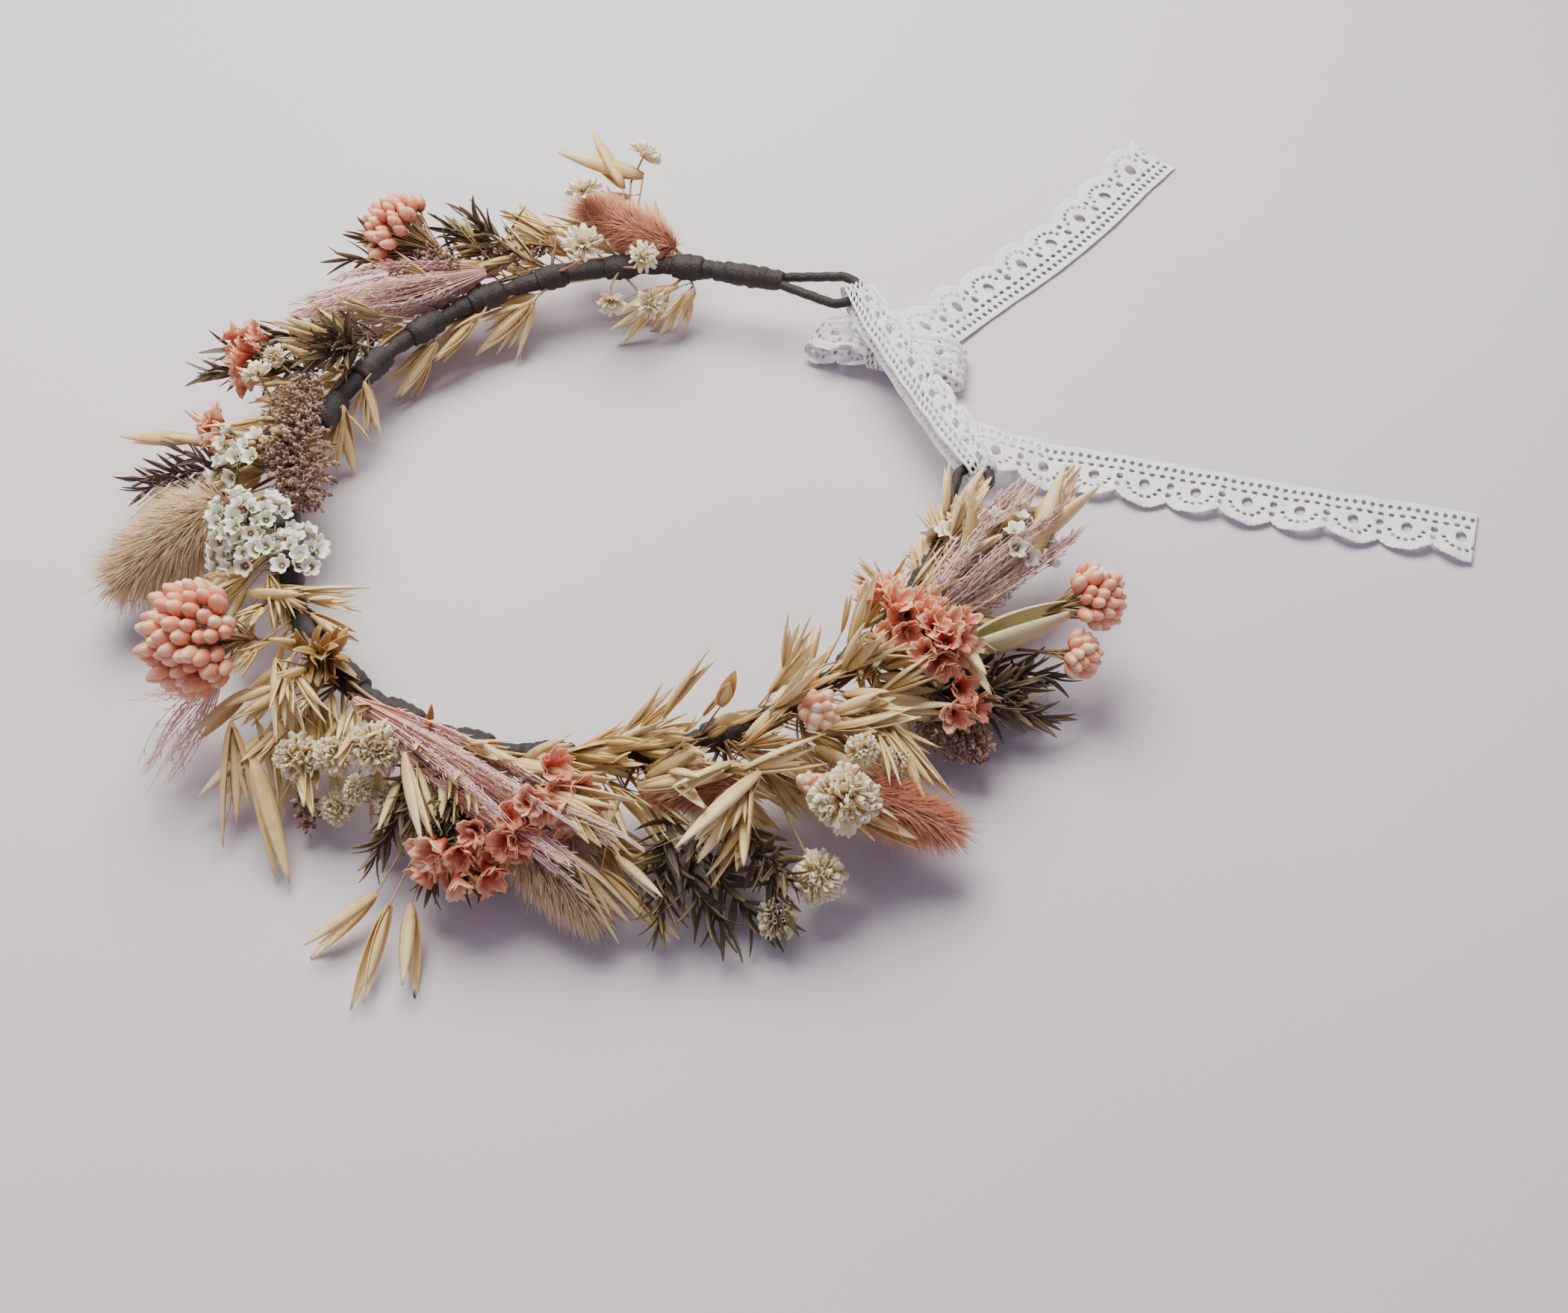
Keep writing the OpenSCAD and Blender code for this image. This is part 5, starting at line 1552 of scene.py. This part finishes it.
bow_parts, bow_length, bow_area = [], 0.0, 0.0
for degrees, height in ((-145, 4.2), (58, 4.0)):
    turn = math.radians(degrees)
    run = smooth(bow_loop(turn, bow_reach, height), 60)
    run[:, 2] = np.maximum(run[:, 2], 1.0 * mm)
    side = np.array([-math.sin(turn), math.cos(turn), 0.0])
    loop_run = np.concatenate([[0], np.cumsum(np.linalg.norm(np.diff(run, axis=0), axis=1))])[-1]

    def gathered(u, v, whole=loop_run):
        near = np.minimum(u, whole - u)
        squeeze = 0.38 + 0.5 * np.clip(near / (14 * mm), 0, 1) ** 0.8
        high = (1.0 * mm * np.sqrt(1 - squeeze ** 2) * np.sin(v / mm * 1.6)
                + 0.35 * mm * np.sin(u / mm * 0.5 + v / mm * 0.25))
        return (v - lace_w / 2) * squeeze, high

    lay, length = laid_along(run, np.tile(side, (len(run), 1)), gathered)
    cut = lace_cut(length, 5 * mm)
    bow_parts.append(lace_mesh("bow_loop", cut, lay))
    bow_length += length
    bow_area += cut[4]
band_turn = math.radians(46)
band_out = np.array([math.cos(band_turn), math.sin(band_turn), 0.0])
band_side = np.array([-math.sin(band_turn), math.cos(band_turn), 0.0])
band_run = np.array([knot_at + band_side * 5.4 * mm * math.sin(a) + up * 4.6 * mm * math.cos(a)
                     for a in np.linspace(0, 2 * math.pi, 40)])


def knotted(u, v):
    squeeze = 0.46
    return ((v - lace_w / 2) * squeeze,
            0.9 * mm * np.sin(v / mm * 2.1) + 0.3 * mm * np.sin(u / mm * 0.9))


lay, length = laid_along(band_run, np.tile(band_out, (len(band_run), 1)), knotted)
cut = lace_cut(length, 9 * mm)
bow_parts.append(lace_mesh("bow_knot", cut, lay))
bow_length += length
bow_area += cut[4]
whole_bow = bmesh.new()
for part in bow_parts:
    whole_bow.from_mesh(part)
bow_mesh = bpy.data.meshes.new("lace_bow_tied")
whole_bow.to_mesh(bow_mesh)
whole_bow.free()
for part in bow_parts:
    bpy.data.meshes.remove(part)
lace_piece("lace_bow_tied", "lace_bow", bow_mesh, bow_length, bow_area)

# The tails: each comes down from the bow and lies on the table in a slight curve


def tail(name, node, points, length, roll, wave, start, facing=1):
    run = smooth(points, 140)
    heading = np.gradient(run, axis=0)
    heading[:, 2] = 0
    heading /= np.linalg.norm(heading, axis=1)[:, None]
    side = np.stack([heading[:, 1], -heading[:, 0], np.zeros(len(run))], -1) * facing
    far = np.linspace(0, 1, len(run))
    lift = np.interp(far, [0, 0.3, 0.7, 1], roll)[:, None]
    side = side * np.cos(lift) + up * np.sin(lift)

    def wavy(u, v):
        share = v / lace_w
        high = wave * mm * (np.sin(u / mm * 0.21 + 1.0) * share + 0.4 * np.sin(u / mm * 0.47)
                            * (1 - share) + 0.25 * np.sin(u / mm * 0.87) * share ** 2)
        return v - lace_w / 2, high

    lay, _ = laid_along(run, side, wavy)
    cut = lace_cut(length, start)
    mesh = lace_mesh(name, cut, lay)
    places = np.empty(len(mesh.vertices) * 3, np.float32)
    mesh.vertices.foreach_get("co", places)
    floor = 0.15 * mm
    sunk = places[2::3] < floor + 1.2 * mm
    places[2::3] = np.where(sunk, floor + 1.2 * mm * np.exp((places[2::3] - floor - 1.2 * mm)
                                                           / (2.4 * mm)), places[2::3])
    mesh.vertices.foreach_set("co", places)
    mesh.update()
    lace_piece(name, node, mesh, length, cut[4])


def ahead_from(start, degrees, steps):
    a = math.radians(degrees)
    out, aside = np.array([math.cos(a), math.sin(a), 0]), np.array([-math.sin(a), math.cos(a), 0])
    return [start + out * x * mm + aside * y * mm + up * z * mm for x, y, z in steps]


tail("lace_tail_left_laid", "lace_tail_left",
     ahead_from(np.array([knot_at[0] - 1 * mm, knot_at[1] + 5 * mm, 0]), 113,
                [(-4, 0, 8.5), (10, 0.5, 6.0), (24, 0.5, 2.6), (40, 0, 1.2), (64, -1.5, 1.0),
                 (90, -1, 1.0), (112, 1, 1.4), (134, 2, 1.0)]), 132 * mm,
     (0.2, 0.25, 0.1, 0.3), 1.1, 3 * mm, -1)
tail("lace_tail_right_laid", "lace_tail_right",
     ahead_from(np.array([right_tip[0] - 20 * mm, right_tip[1] + 6 * mm, 0]), 52,
                [(-5, 0, 8.8), (8, 0.5, 6.0), (22, 1, 2.4), (40, 1.5, 1.2), (70, 0.5, 1.0),
                 (100, -0.5, 1.2), (126, -0.5, 1.0), (150, -1.5, 1.0)]), 148 * mm,
     (0.15, 0.1, 0.15, 0.1), 1.0, 8 * mm)
